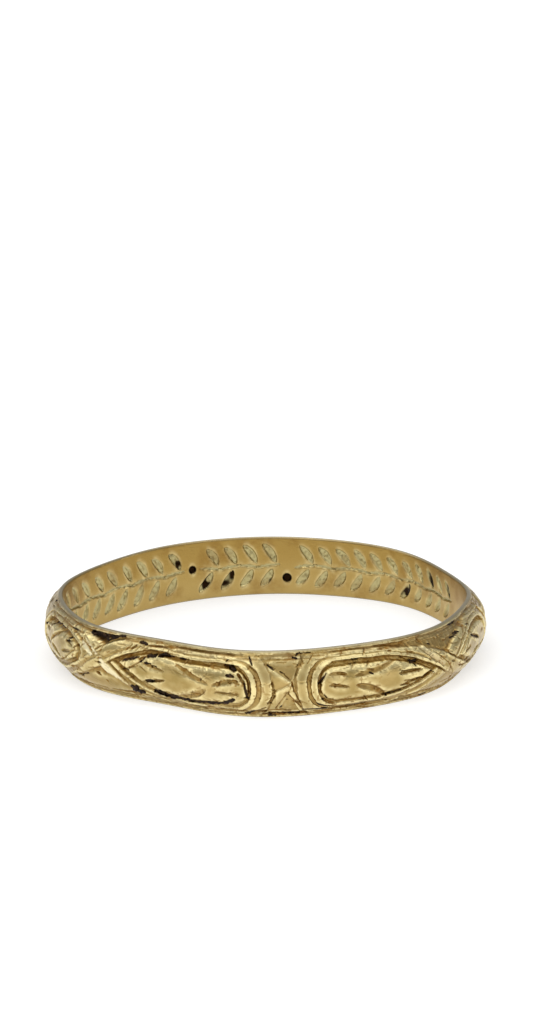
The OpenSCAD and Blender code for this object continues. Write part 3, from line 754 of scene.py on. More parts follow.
    (212.3, -0.50, 219.5, -0.98, 0.04, -0.04, 0.0, 0.0), (221.8, 0.13, 222.8, 0.04, 0.04, *ENAMEL),
    (220.0, -0.11, 221.9, -0.24, 0.04, *ENAMEL), (221.8, -0.24, 224.5, -0.43, 0.05, *ENAMEL),
    (222.8, 0.07, 228.3, -0.60, 0.05, 0.06, 0.8, 0.1), (228.8, 0.40, 232.3, 0.27, 0.02, *DIRTY),
    (225.4, -0.18, 231.7, -0.13, 0.04, *BARE), (234.3, 0.71, 236.3, 0.51, 0.03, *DIRTY),
    (236.1, 0.75, 240.8, 0.26, 0.06, 0.08, 0.9, 0.3), (238.7, -0.16, 242.4, -0.31, 0.06, *ENAMEL),
    (244.3, -0.34, 246.8, -0.32, 0.05, *ENAMEL), (244.8, 0.11, 247.9, 0.21, 0.06, 0.06, 0.8, 0.2),
    (241.3, 0.85, 245.8, 0.88, 0.03, *ENAMEL), (246.7, 0.85, 248.4, 0.68, 0.05, *ENAMEL),
    (205.8, -0.44, 212.4, 0.11, 0.04, 0.07, 0.9, 0.4), (213.8, 0.26, 220.4, 0.80, 0.03, *BARE),
    (220.4, 0.80, 230.8, 1.16, 0.03, *BARE), (230.8, 1.16, 239.2, 1.26, 0.02, 0.04, 0.6, 0.0),
    (254.2, -0.79, 257.5, -0.79, 0.03, *DIRTY), (256.1, 0.74, 256.8, 0.64, 0.03, *ENAMEL),
    (238.3, -0.76, 245.8, -0.79, 0.04, 0.06, 0.9, 0.5), (245.8, -0.57, 247.9, -0.73, 0.03, *ENAMEL),
    (231.7, -0.57, 236.3, -0.57, 0.03, 0.05, 0.7, 0.3), (234.6, -1.18, 237.5, -1.12, 0.03, *DIRTY),
    (251.7, -0.93, 255.8, -1.15, 0.03, *DIRTY), (209.0, -0.82, 212.1, -0.57, 0.03, 0.05, 0.8, 0.1),
    (204.2, -1.05, 207.1, -0.79, 0.03, *DIRTY), (261.7, 0.30, 262.4, 0.23, 0.03, *DIRTY),
    (256.7, 0.23, 257.1, -0.57, 0.02, *BARE), (201.7, -0.79, 204.2, -0.57, 0.03, *DIRTY),
    (257.1, 1.29, 262.1, 1.25, 0.02, 0.04, 0.6, 0.1),
    # Right side
    (58.7, 1.28, 61.9, 1.25, 0.05, *ENAMEL), (56.5, 0.82, 59.5, 0.91, 0.03, *ENAMEL),
    (45.2, 0.94, 46.0, 0.90, 0.03, *ENAMEL), (37.9, 0.46, 40.5, 0.42, 0.04, *ENAMEL),
    (57.9, -0.29, 64.1, 0.39, 0.03, *BARE), (64.1, 0.66, 72.9, 0.80, 0.03, *BARE),
    (72.9, 0.80, 77.0, 0.81, 0.03, *DIRTY), (77.0, 0.80, 80.9, 0.01, 0.03, *BARE),
    (80.8, 0.01, 81.0, -0.57, 0.03, *DIRTY), (66.2, 0.45, 72.7, 0.03, 0.03, *ENAMEL),
    (65.8, 0.36, 68.7, 0.04, 0.03, -0.04, 0.0, 0.0), (66.2, -0.66, 69.5, -0.31, 0.04, *DIRTY),
    (67.9, -0.37, 69.6, -0.32, 0.04, *ENAMEL), (69.5, -0.31, 72.5, -0.32, 0.03, *BARE),
    (58.7, -0.13, 64.5, 0.05, 0.03, *BARE), (60.4, -0.47, 64.5, -0.50, 0.03, *DIRTY),
    (74.5, -0.50, 80.0, -0.48, 0.03, *DIRTY), (77.0, -0.51, 80.0, -0.44, 0.03, *ENAMEL),
    (56.2, -0.47, 68.7, -0.86, 0.04, 0.07, 0.9, 0.2), (68.7, -0.86, 77.0, -0.83, 0.04, *BARE),
    (69.5, 1.30, 75.4, 1.26, 0.03, *DIRTY), (66.2, 1.20, 79.1, 1.14, 0.02, 0.04, 0.7, 0.1),
    (42.0, 1.14, 46.3, 0.58, 0.02, 0.04, 0.5, 0.0), (46.3, 0.58, 50.3, -0.02, 0.02, 0.04, 0.5, 0.0),
    (50.3, -0.02, 54.8, -0.86, 0.03, 0.04, 0.5, 0.0),
    (53.5, -0.02, 57.8, 0.45, 0.05, 0.04, 0.7, 0.0), (57.8, 0.45, 64.3, 1.12, 0.05, 0.04, 0.7, 0.0),
    (53.3, -0.86, 55.0, -0.95, 0.04, *DIRTY), (66.0, -1.21, 67.3, -1.17, 0.04, *ENAMEL),
    (81.2, 1.23, 84.5, 0.52, 0.03, *BARE), (84.5, 0.52, 85.2, -0.57, 0.03, *BARE),
    (85.4, -1.24, 93.1, -1.11, 0.06, *ENAMEL), (87.9, 0.37, 90.0, -0.13, 0.03, 0.05, 0.8, 0.1),
    (88.7, -0.79, 93.7, -0.93, 0.03, 0.05, 0.8, 0.2),
    (81.6, 1.27, 85.4, 0.60, 0.04, -0.04, 0.0, 0.0),
    (82.9, 1.17, 88.3, 0.45, 0.06, -0.05, 0.0, 0.0),
    (89.4, -0.42, 90.3, -0.20, 0.03, -0.04, 0.0, 0.0),
    (90.3, -0.20, 91.3, -0.38, 0.03, -0.04, 0.0, 0.0),
    (91.3, -0.38, 90.5, -0.62, 0.03, -0.04, 0.0, 0.0),
    (90.5, -0.62, 89.4, -0.42, 0.03, -0.04, 0.0, 0.0), (93.9, 0.37, 94.5, -0.08, 0.03, *ENAMEL),
    (93.1, 1.36, 94.1, 1.28, 0.03, *ENAMEL), (92.5, 1.10, 91.2, 0.01, 0.03, *BARE),
    (97.0, -0.13, 97.9, -0.57, 0.03, *DIRTY), (95.4, 0.91, 95.8, 0.59, 0.02, 0.04, 0.7, 0.3),
    (83.3, 1.30, 90.8, 1.33, 0.02, *DIRTY),
    # Behind, right of the plain border
    (102.0, 0.30, 103.6, 0.17, 0.05, *ENAMEL), (99.2, 0.37, 102.1, 0.29, 0.03, *BARE),
    (99.2, -0.21, 103.7, -0.25, 0.05, *DIRTY), (106.1, 0.16, 112.1, 0.66, 0.04, 0.08, 0.8, 0.1),
    (106.1, -0.22, 113.8, -0.34, 0.08, 0.08, 0.9, 0.1), (114.5, 0.27, 116.9, 0.39, 0.04, *DIRTY),
    (114.9, -0.05, 118.0, 0.01, 0.04, *BARE), (98.4, -0.43, 100.9, -0.73, 0.04, *DIRTY),
    (100.9, -0.73, 109.2, -0.72, 0.03, *DIRTY), (109.2, -0.72, 115.0, -0.29, 0.03, *DIRTY),
    (115.0, -0.29, 122.8, 0.14, 0.03, *DIRTY), (100.0, 0.74, 103.8, 0.85, 0.03, *DIRTY),
    (103.8, 0.85, 111.7, 0.85, 0.03, *BARE), (111.7, 0.85, 119.2, 0.37, 0.03, *BARE),
    (133.7, 1.12, 136.3, 1.22, 0.05, *ENAMEL), (135.9, 1.19, 137.5, 1.19, 0.04, *ENAMEL),
    (125.9, 1.25, 133.8, 1.10, 0.07, 0.05, 0.9, 0.2), (127.5, 0.88, 129.4, 0.80, 0.03, *DIRTY),
    (111.3, 1.26, 112.1, 1.32, 0.03, *ENAMEL), (113.4, 1.23, 117.1, 1.25, 0.03, 0.04, 0.7, 0.4),
    (120.5, -0.43, 125.0, -0.03, 0.05, 0.07, 0.8, 0.2),
    (125.0, 0.00, 129.2, 0.40, 0.03, 0.07, 0.9, 0.0),
    (129.2, 0.40, 135.9, 0.96, 0.03, 0.08, 0.9, 0.0), (135.9, 0.96, 140.5, 1.17, 0.03, *BARE),
    (135.0, 0.42, 137.1, 0.52, 0.03, *DIRTY), (138.0, 0.46, 141.7, 0.51, 0.04, *DIRTY),
    (145.9, 0.52, 153.8, 0.23, 0.03, *BARE), (154.4, 0.11, 157.1, 0.24, 0.05, *DIRTY),
    (154.4, -0.25, 155.5, -0.37, 0.05, *ENAMEL), (138.8, 0.07, 141.7, 0.05, 0.03, *BARE),
    (123.4, -0.79, 129.0, -0.69, 0.04, 0.05, 0.8, 0.2), (131.3, -0.72, 138.4, -1.22, 0.03, *DIRTY),
    (118.0, -1.31, 119.7, -1.31, 0.03, *DIRTY), (112.5, -1.37, 113.4, -1.38, 0.02, *DIRTY),
    (145.9, 0.74, 156.7, 0.75, 0.03, *BARE), (156.7, 0.75, 159.2, 0.30, 0.03, *BARE),
    (143.4, -1.15, 144.2, -1.25, 0.03, *ENAMEL), (160.9, 1.17, 162.8, 1.09, 0.03, *ENAMEL),
    (121.3, 1.17, 123.4, 0.66, 0.02, 0.04, 0.7, 0.0),
    (121.7, 1.03, 125.9, 0.52, 0.02, 0.04, 0.6, 0.0),
]]


# %% [markdown]
# ## How a cut meets the net
# A stroke touches only the columns of the net near it. There its distance gives the depth, and
# the same distance gives the stain, so dirt always lies where the tool went. Noise on the width
# keeps the edges torn, as they are where metal was pushed and not sawn.

# %% The graver
# The net is changed only within a cut's reach, which is its own half and these many mm more
SCORE_MARGIN = 0.15
ENGRAVE_MARGIN = 0.1


def across_cut(cut, bearing, v):
    """How far along a cut each point is, from 0 to 1, and how far to its left in mm."""
    x, y = turn(bearing, cut.b0) * MM_DEG, v - cut.v0
    dx, dy = turn(cut.b1, cut.b0) * MM_DEG, cut.v1 - cut.v0
    length = math.hypot(dx, dy)
    along = (x * dx + y * dy) / length ** 2
    return along, (y * dx - x * dy) / length - 4 * cut.bow * along * (1 - along)


def near(cut, bearing, margin):
    """Which columns of the net lie within margin mm of a cut's two ends, or between them."""
    span = turn(cut.b1, cut.b0)
    return np.abs(turn(bearing[:, 0], cut.b0 + span / 2)) < abs(span) / 2 + margin / MM_DEG


def lens(along, power=0.6):
    """How far a cut has swelled: 0 at both ends, 1 in its middle."""
    return np.clip(4 * along * (1 - along), 0, 1) ** power


def score(lines, bearing, v, height, brown, black):
    """Scores every stroke of a chart into a height net, with a torn edge, and stains it."""
    for line in lines:
        cols = near(line, bearing, line.half + SCORE_MARGIN)
        b, w = bearing[cols], v[cols]
        x, y = turn(b, line.b0) * MM_DEG, w - line.v0
        dx, dy = turn(line.b1, line.b0) * MM_DEG, line.v1 - line.v0
        along = np.clip((x * dx + y * dy) / (dx * dx + dy * dy), 0, 1)
        away = np.hypot(x - along * dx, y - along * dy)
        # A stroke is narrower toward its ends, and noise on its width tears its edges
        uneven = 1 + 0.35 * noise(b, w, 0.15, 21) + 0.12 * noise(b, w, 0.07, 22)
        width = line.half * uneven * (0.55 + 0.45 * lens(along, 0.4))
        floor = smooth(1.25 - away / width)
        height[cols] -= line.deep * floor
        brown[cols] = np.maximum(brown[cols], line.brown * smooth(1.7 - away / width))
        # The black has a ragged edge of its own, here past the stroke and there short of it
        torn = 1.25 + 0.35 * noise(b, w, 0.16, 24) + 0.25 * noise(b, w, 0.4, 25)
        black[cols] = np.maximum(black[cols], line.black ** 2 * smooth((torn - away / width) * 2.5))


def engrave(cuts, bearing, v, height, brown, black, sign=-1, flat=False):
    """Cuts every row of a chart into a height net, and stains its floor. A flat cut has a level,
    scraped floor instead of a single deepest line."""
    for cut in cuts:
        cols = near(cut, bearing, cut.half + abs(cut.bow) + ENGRAVE_MARGIN)
        b, w = bearing[cols], v[cols]
        along, left = across_cut(cut, b, w)
        swell = lens(along)
        x = left / (cut.half * np.maximum(swell, 0.05))
        # From the deepest line, where the lean has moved it, a wall rises to either edge
        wall = np.where(x > cut.lean, (x - cut.lean) / (1 - cut.lean),
                        (cut.lean - x) / (1 + cut.lean))
        floor = np.clip(1 - wall, 0, 1) * (swell > 0) * np.minimum(1, 1.5 * swell)
        if flat:
            floor = smooth(floor * 2.6) * (1 + 0.25 * noise(b, w, 0.11, 31))
        height[cols] += sign * cut.deep * floor
        stain = smooth(floor * 2.2) * (0.75 + 0.4 * noise(b, w, 0.12, 23))
        brown[cols] = np.maximum(brown[cols], cut.brown * stain)
        black[cols] = np.maximum(black[cols], cut.black * smooth((floor - 0.35) * 3))


# The lines at the ribbons' feet come and go
broken = foot * smooth(0.75 + 0.9 * noise(net_b, net_v, 0.5, 26, 2.0)
                       + 0.5 * noise(net_b, net_v, 0.13, 27))
height -= 0.03 * broken
brown = 0.9 * broken
black = 0.35 * broken * smooth(0.5 + 1.5 * noise(net_b, net_v, 0.35, 28, 2.0))
engrave(LEAF_CUTS, net_b, net_v, height, brown, black)
score(LINES, net_b, net_v, height, brown, black)
print("cuts in the leaves:", len(LEAF_CUTS), "small strokes:", len(LINES))

# %% [markdown]
# ## Marks too many to chart
# Between the charted strokes the surface is full of small nicks and hairlines, from tools and
# from centuries of knocks. No one could tell if one of them moved, so they are drawn at random,
# with a fixed seed: streaks that follow the rims, and short nicks at any slant. Nicks are kept
# mostly to flanks and channels, since the faces of the leaves were rubbed smooth again.

# %% Streaks and nicks
# How many, between which heights, how long in mm, up to what slant in degrees, half their width
# and depth in mm, how brown, what share of them also holds some black, and how much of a mark is
# left on a level face: streaks along the upper and the lower rim, and nicks between them
Stray = namedtuple("Stray", "count low high length slant half deep brown black level")
STRAYS = [
    Stray(190, 1.02, 1.40, 1.3, 3, 0.022, 0.035, 0.7, 0.02, 1.0),
    Stray(230, -1.40, -0.95, 0.9, 7, 0.026, 0.045, 0.6, 0.04, 1.0),
    Stray(620, -1.05, 1.05, 0.34, 50, 0.028, 0.055, 0.9, 0.06, 0.12),
]
STRAY_SEED = 73


def scatter(stray, hand):
    """Random strokes for one row of the chart."""
    lines = []
    for _ in range(stray.count):
        length = stray.length * hand.uniform(0.4, 1.6)
        slant = math.radians(hand.normal(0, 0.5 * stray.slant))
        b, v = hand.uniform(0, 360), hand.uniform(stray.low, stray.high)
        lines.append(Line(b, v, b + length * math.cos(slant) / MM_DEG, v + length * math.sin(slant),
                          stray.half * hand.uniform(0.7, 1.5), stray.deep, stray.brown,
                          1.0 if hand.random() < stray.black else 0.0))
    return lines


hand = np.random.default_rng(STRAY_SEED)
# Where the surface is steep, on flanks and in channels
edges = np.clip(np.abs(np.gradient(height, axis=1)) / 0.02
                + np.abs(np.gradient(height, axis=0)) / 0.02, 0, 1)
for stray in STRAYS:
    marks, film, dark = np.zeros_like(height), np.zeros_like(height), np.zeros_like(height)
    score(scatter(stray, hand), net_b, net_v, marks, film, dark)
    share = stray.level + (1 - stray.level) * edges
    height += np.maximum(marks, -1.5 * stray.deep) * share
    brown = np.maximum(brown, film * share)
    black = np.maximum(black, dark * share)
print("stray marks:", sum(stray.count for stray in STRAYS))

# %% [markdown]
# ## Wear, painted highlights and the hollows
# What stands proud is rubbed by skin and cloth, and it is painted pale as a highlight, while dirt
# stays in what lies deep. Both can be told from the height alone: subtract from it a blurred copy
# of itself, and what is left is positive on edges and negative in hollows. The gold's material
# reads the two as attributes.

# %% Surface wear and painted highlights
def blur(field, cells):
    """A box blur, run twice, which closes round the ring."""
    out = field
    for _ in range(2):
        out = sum(np.roll(out, k, 0) for k in range(-cells, cells + 1)) / (2 * cells + 1)
        padded = np.pad(out, ((0, 0), (cells, cells)), mode="edge")
        out = sum(padded[:, k:k + field.shape[1]] for k in range(2 * cells + 1)) / (2 * cells + 1)
    return out


# The sunk ground is left rough, and the whole band undulates
ground_share = smooth((-0.08 - height) / 0.08)
height += 0.016 * ground_share * noise(net_b, net_v, 0.11, 5)
height += 0.012 * noise(net_b, net_v, 0.8, 6, 1.6) + 0.007 * noise(net_b, net_v, 0.28, 7, 1.4)
# Edges and hollows are more ragged than the faces of the leaves
ragged = np.clip(np.abs(blur(height, 3) - height) / 0.025, 0.10, 1)
height += ragged * (0.015 * noise(net_b, net_v, 0.15, 9) + 0.006 * noise(net_b, net_v, 0.07, 10))
# Two of the collars are pitted and brown, about these bearings
Patch = namedtuple("Patch", "middle half")
for patch in [Patch(170.2, 6.0), Patch(89.5, 4.0)]:
    share = smooth((patch.half - np.abs(turn(net_b, patch.middle))) * MM_DEG / 0.35)
    pits = smooth(0.9 * noise(net_b, net_v, 0.34, 15) + 0.5 * noise(net_b, net_v, 0.15, 16))
    height -= 0.07 * share * pits
    brown = np.maximum(brown, share * (0.25 + 0.5 * pits))
# Toward both rims the skin is rough, and the film lies in streaks that follow the band
border_share = smooth((np.abs(net_v) - 1.0) / 0.2)
scales = (np.abs(noise(net_b + 6 * net_v, net_v, 0.13, 12, 1.6))
          + 0.5 * np.abs(noise(net_b, net_v, 0.07, 18)))
height -= np.where(net_v > 0, 0.02, 0.05) * border_share * scales
height = np.minimum(height, 0)
proud = height - blur(height, 4)
hollow = np.clip(-proud / 0.05, 0, 1)
# Painted highlight: what stands proud is painted pale, as well as being rubbed
crest = np.clip(proud / 0.035, 0, 1)
patchy = 0.72 + 0.5 * noise(net_b, net_v, 0.5, 8) + 0.25 * noise(net_b, net_v, 0.16, 11)
specks = smooth((noise(net_b, net_v, 0.10, 17) - 0.45) / 0.25) * (ragged > 0.3)
brown = np.clip(np.maximum(brown, np.maximum(0.65 * hollow, 0.8 * specks)) * patchy, 0, 1)
# The sunk ground above mid-band keeps a thin brown film
brown = np.maximum(brown, 0.22 * ground_share * (1 - smooth((0.15 - net_v) / 0.3)))
streaks = smooth(0.35 + 1.3 * noise(net_b, net_v, 0.1, 13, 7)
                 + 0.5 * noise(net_b, net_v, 0.5, 14, 3))
film_share = border_share * streaks * np.where(net_v > 0, 0.32, 0.25)
print("share of the outside that is brown:", round(float((brown > 0.5).mean()), 3))

# %% [markdown]
# ## The engraving inside
# A posy ring hides its engraving inside the band. Here it is a plain one of laurel sprigs: a
# stem that waves along the wall, with pairs of leaves. Round drilled stops part the sprigs, and
# a plain stretch is left where the band was soldered. The leaves are broad cuts with scraped
# floors, and the same graver function makes them, only its cuts go outward into the wall.

# %% Laurel sprigs, stops and seam
Sprig = namedtuple("Sprig", "first last")
SPRIGS = [Sprig(20.5, 75.5), Sprig(351.0, 14.8), Sprig(314.8, 345.8), Sprig(272.6, 309.0),
          Sprig(206.4, 265.8), Sprig(177.2, 200.2), Sprig(109.0, 171.6)]
Stop = namedtuple("Stop", "bearing v radius")
STOPS = [Stop(18.0, 0.02, 0.2), Stop(348.6, 0.0, 0.2), Stop(312.0, -0.12, 0.2),
         Stop(269.2, 0.05, 0.2), Stop(203.2, 0.08, 0.19), Stop(174.5, -0.60, 0.22)]
STOP_DEPTH = 0.13
# Degrees between the pairs of leaves, and the share of the leaves that still hold enamel
PAIR_STEP = 5.8
HELD_SHARE = 0.12
# The seed of the first sprig; each has one of its own
SPRIG_SEED = 60


def sprig_cuts(sprig, seed):
    """The cuts of one sprig: its stem in short pieces, and a pair of leaves at each piece."""
    hand = np.random.default_rng(seed)
    span = turn(sprig.last, sprig.first) % 360
    count = max(3, round(span / PAIR_STEP))
    piece = span / count
    cuts = []
    for k in range(count):
        at = sprig.first + (k + 0.5) * piece
        low, high = (-0.08, 0.08) if k % 2 else (0.08, -0.08)
        cuts.append(Cut(at - 0.62 * piece, low, at + 0.62 * piece, high,
                        0.09, 0.05, 0.0, 0.03, 0.0, 0.0))
        for side in (1, -1):
            start = at - 0.38 * piece + (1.2 if side < 0 else 0.0) + hand.normal(0, 0.2)
            tip = start + 3.9 + hand.normal(0, 0.3)
            stain = 1.0 if hand.random() < HELD_SHARE else 0.0
            tip_v = side * (0.98 + hand.normal(0, 0.05))
            cuts.append(Cut(start, side * 0.16, tip, tip_v, 0.23, 0.075,
                            hand.uniform(-0.3, 0.3), 0.07 * side, 0.0, stain))
    return cuts


in_b, in_v = np.meshgrid(bearings, rows_in, indexing="ij")
depth_in, brown_in, black_in = np.zeros_like(in_v), np.zeros_like(in_v), np.zeros_like(in_v)
for number, sprig in enumerate(SPRIGS):
    engrave(sprig_cuts(sprig, SPRIG_SEED + number), in_b, in_v, depth_in, brown_in, black_in,
            sign=1, flat=True)
scraped_in = smooth(depth_in / 0.05)
black_in *= smooth(1.4 * noise(in_b, in_v, 0.25, 41) + 0.35)
for stop in STOPS:
    away = np.hypot(turn(in_b, stop.bearing) * R_IN * math.pi / 180, in_v - stop.v)
    depth_in += STOP_DEPTH * smooth((stop.radius - away) / 0.07)
    black_in = np.maximum(black_in, smooth((stop.radius - away) / 0.05 + 0.7))
depth_in += 0.006 * noise(in_b, in_v, 0.8, 42) + 0.004 * noise(in_b, in_v, 0.22, 43)
depth_in += scraped_in * (0.010 * noise(in_b, in_v, 0.12, 44) + 0.006 * noise(in_b, in_v, 0.3, 45))
depth_in = np.maximum(depth_in - 0.004, 0)
lip = depth_in - blur(depth_in, 3)
clouded = smooth(noise(in_b, in_v, 0.7, 46) + 0.2 * noise(in_b, in_v, 0.15, 47))
brown_in = np.clip(0.5 * np.clip(lip / 0.03, 0, 1) * (1 - scraped_in) + 0.35 * clouded, 0, 1)
# Painted highlight: pale lines along the lips of the cuts, where they catch the light
lip_highlight_in = 0.6 * np.clip(-lip / 0.02, 0, 1) ** 1.5 * (0.6 + 0.4 * noise(in_b, in_v, 0.2, 48))
print("sprigs:", len(SPRIGS), "stops:", len(STOPS), "deepest:", round(float(depth_in.max()), 3))

# %% [markdown]
# ## From the net to four closed quarters
# The outside's radius is the plain curve plus the carving. The carving fades toward the rims,
# where the metal is thin. Both rims have small round edges. A quarter is a strip of sections
# closed by a cap at each end, so that it is a solid of its own; the caps meet inside the metal.

# %% Sections of the ring
def standing(v):
    """Share of the carving's depth that the metal has room for."""
    return np.clip((curve(v) - R_IN - 0.8 * RIM_T) / 0.3, 0, 1)


def edge_round(v, size=0.045):
    """How far a rim's rounded edge has pulled back."""
    k = np.clip((np.abs(v) - (HALF - size)) / size, 0, 1)
    return size * (1 - np.sqrt(1 - k * k))


radius_out = curve(net_v) + height * standing(net_v) - edge_round(net_v)
radius_in = R_IN + depth_in + edge_round(in_v)
points = np.concatenate([place(net_b, radius_out, net_v), place(in_b, radius_in, in_v)], 1)


def both(outside=0.0, inside=0.0):
    """A field over the whole net, from its part outside and its part inside."""
    return np.concatenate([outside + np.zeros_like(net_v), inside + np.zeros_like(in_v)], 1)


# What the gold's material reads: where each of its layers shows, and how strongly
fields = {
    "brown": both(brown, brown_in),
    "black": both(black, black_in),
    # Painted highlight on the crests outside and on the lips of the cuts inside
    "crest": both(crest, lip_highlight_in),
    # Painted highlight on the facets that flash
    "facet_highlight": both(pale),
    "grey": both(film_share),
    # Painted reflection: a grey line along both rim edges, for the grazing reflection there
    "rim": both(*[smooth((np.abs(v) - HALF + 0.065) / 0.035) for v in (net_v, in_v)]),
    "scraped": both(inside=scraped_in),
    # The inside's own redder gold, also painted brighter for light that the inner wall lacks
    "inner": both(inside=1.0),
    # The inside wall is darker toward the top, outside the scraped cuts
    "inside_darker_upward": both(inside=smooth((in_v + 1.1) / 1.9) * (1 - scraped_in)),
}


def net_normals(points):
    """Outward normals of the whole net, so that the quarters shade as one ring."""
    along = np.roll(points, -1, 0) - np.roll(points, 1, 0)
    across = np.roll(points, -1, 1) - np.roll(points, 1, 1)
    normal = np.cross(across, along)
    return normal / np.maximum(np.linalg.norm(normal, axis=2, keepdims=True), 1e-20)


normals = net_normals(points)


def quarter(number):
    """One closed quarter of the ring, with the fields as attributes."""
    first = number * COLUMNS
    cols = np.arange(first, first + COLUMNS + 1) % len(bearings)
    per = points.shape[1]
    mesh = bpy.data.meshes.new(f"band_quarter_{number + 1}")
    # Each face joins a point, the next one of its section, and the same two of the next section
    base = np.arange(COLUMNS)[:, None] * per + np.arange(per)[None, :]
    ahead = np.arange(COLUMNS)[:, None] * per + (np.arange(per)[None, :] + 1) % per
    quads = np.stack([base, ahead, ahead + per, base + per], -1).reshape(-1, 4)
    last = COLUMNS * per
    caps = [list(range(per))[::-1], list(range(last, last + per))]
    mesh.from_pydata(points[cols].reshape(-1, 3).tolist(), [], quads.tolist() + caps)
    for name, field in fields.items():
        set_attribute(mesh, name, field[cols].ravel())
    # Where each point lies along the band, in metres, for scratches that follow it. It is counted
    # from the seam behind, where its jump is out of sight.
    run_b = (SEAMS[number] - SEAMS[2]) % 360 + steps[number] * np.arange(COLUMNS + 1) / COLUMNS
    wrap = np.zeros((COLUMNS + 1, per, 3))
    wrap[..., 0] = run_b[:, None] * MM_DEG * MM
    wrap[..., 1] = np.concatenate([rows_out, rows_in])[None, :] * MM
    set_attribute(mesh, "wrap", wrap.reshape(-1, 3))
    mesh.polygons.foreach_set("use_smooth", [True] * len(quads) + [False, False])
    mesh.update()
    mesh.normals_split_custom_set_from_vertices(normals[cols].reshape(-1, 3).tolist())
    return add_object(mesh.name, mesh)


quarters = [quarter(k) for k in range(4)]
for obj in quarters:
    print(obj.name, len(obj.data.polygons) * 2, "triangles or so")

# %% [markdown]
# ## Old gold
# The ring is a high-carat alloy, cast, chased and then worn for centuries. Worn gold isn't a
# mirror: thousands of hairline scratches spread its highlights to a satin sheen. Crests that are
# rubbed clean, and facets where they flash, are painted pale as a highlight. A grey line painted
# along both rims stands for the grazing reflection there, and a brown film darkens the hollows.
# The inside, which only a finger has touched, is smoother and redder, and it is painted brighter
# for light that it lacks. Each of these is a layer with a colour of its own.

# %% Worn gold, chased by hand
GOLD_CLEAN = "#b19861"
GOLD_TARNISHED = "#9c8650"
# The layers, each over the ones before it. A name is the attribute that says where it shows
LAYERS = {
    # Redder gold of the inside, also painted brighter, standing in for light that it lacks
    "inner": "#b59a5d",
    # Darker toward the top of the inside
    "inside_darker_upward": "#aa8c4c",
    "scraped": "#b7ac7b",
    # Painted highlight on the crests, which are also rubbed
    "crest": "#e4d39b",
    # Painted highlight on the facets
    "facet_highlight": "#f0e4ba",
    "brown": "#8a6228",
    "grey": "#8d8262",
    # Painted reflection: grey along the rim edges
    "rim": "#a3987a",
    "black": "#23160b",
}
# Roughness of clean gold, and of gold under the brown film
ROUGH_CLEAN = 0.29
ROUGH_FILM = 0.5


def worn_gold():
    """High-carat gold, hand-chased and worn to satin: warm, soft highlights, pale painted
    highlights on crests and facets, brown hollows.
    """
    material, tree, shader = new_material("worn_chased_gold")
    coords = add_node(tree, "ShaderNodeTexCoord").outputs["Object"]
    shares = {name: add_node(tree, "ShaderNodeAttribute", attribute_name=name).outputs["Fac"]
              for name in LAYERS}
    # Cloudy tarnish 1.2 mm across, and patches of 0.15 mm in the brown film
    clouds = noise_texture(tree, coords, 1 / (1.2 * MM), 4.0)["Fac"]
    spots = noise_texture(tree, coords, 1 / (0.15 * MM), 3.0)["Fac"]
    patches = remap(tree, spots, 0.3, 0.6, 0.6, 1.15)
    film = shares["brown"] = maths(tree, "MULTIPLY", shares["brown"], patches, use_clamp=True)
    tarnish = remap(tree, clouds, 0.38, 0.66)
    tone = mix_colours(tree, tarnish, linear(GOLD_CLEAN), linear(GOLD_TARNISHED))
    for name, colour in LAYERS.items():
        tone = mix_colours(tree, shares[name], tone, linear(colour))
    tree.links.new(tone, shader.inputs["Base Color"])
    shader.inputs["Metallic"].default_value = 1.0
    tree.links.new(remap(tree, film, 0.0, 1.0, ROUGH_CLEAN, ROUGH_FILM), shader.inputs["Roughness"])
    # Relief too fine for the net: grain of 0.1 mm, and wear lines that follow the band, 0.05 mm
    # wide and 0.6 mm long. Real hairlines are finer still, so these are drawn coarser.
    grain = noise_texture(tree, coords, 1 / (0.10 * MM), 3.0)["Fac"]
    wrap = add_node(tree, "ShaderNodeAttribute", attribute_name="wrap").outputs["Vector"]
    along = vector_maths(tree, "MULTIPLY", wrap, (1 / (0.6 * MM), 1 / (0.05 * MM), 0.0))
    lines = noise_texture(tree, along, 1.0, 2.0)["Fac"]
    fine = add_node(tree, "ShaderNodeBump", {"Height": grain, "Strength": 0.45,
                                             "Distance": 0.02 * MM}).outputs["Normal"]
    worn = add_node(tree, "ShaderNodeBump", {"Height": lines, "Strength": 0.35, "Normal": fine,
                                             "Distance": 0.012 * MM}).outputs["Normal"]
    tree.links.new(worn, shader.inputs["Normal"])
    return material


gold = worn_gold()
for obj in quarters:
    obj.data.materials.append(gold)

# %% [markdown]
# ## The last black enamel
# The sunk lines were once filled with black enamel: powdered glass, melted in and stoned flush.
# After centuries only crumbs are left, wedged in the deepest corners. Each stroke of the chart
# that is black becomes a chain of points on the gold. Geometry nodes turn the chains into closed
# ragged lumps: a chain becomes a curve, a circle is swept along it and tapered, and the sweep is
# flattened and roughened. Their sizes stay adjustable, and the result is kept as a plain mesh.

# %% Chains where enamel has held on
# Strokes at least this black hold crumbs, and a chain has a point every so many mm
HOLDS = 0.7
CHAIN_STEP = 0.12
CHAIN_SEED = 71


def on_band(bearing, v):
    """A point on the carved outside, and the outward direction there."""
    column = int(np.argmin(np.abs(turn(bearings, bearing))))
    row = int(np.argmin(np.abs(rows_out - v)))
    a = math.radians(bearing)
    return place(bearing, radius_out[column, row], v), (math.sin(a), -math.cos(a), 0.0)


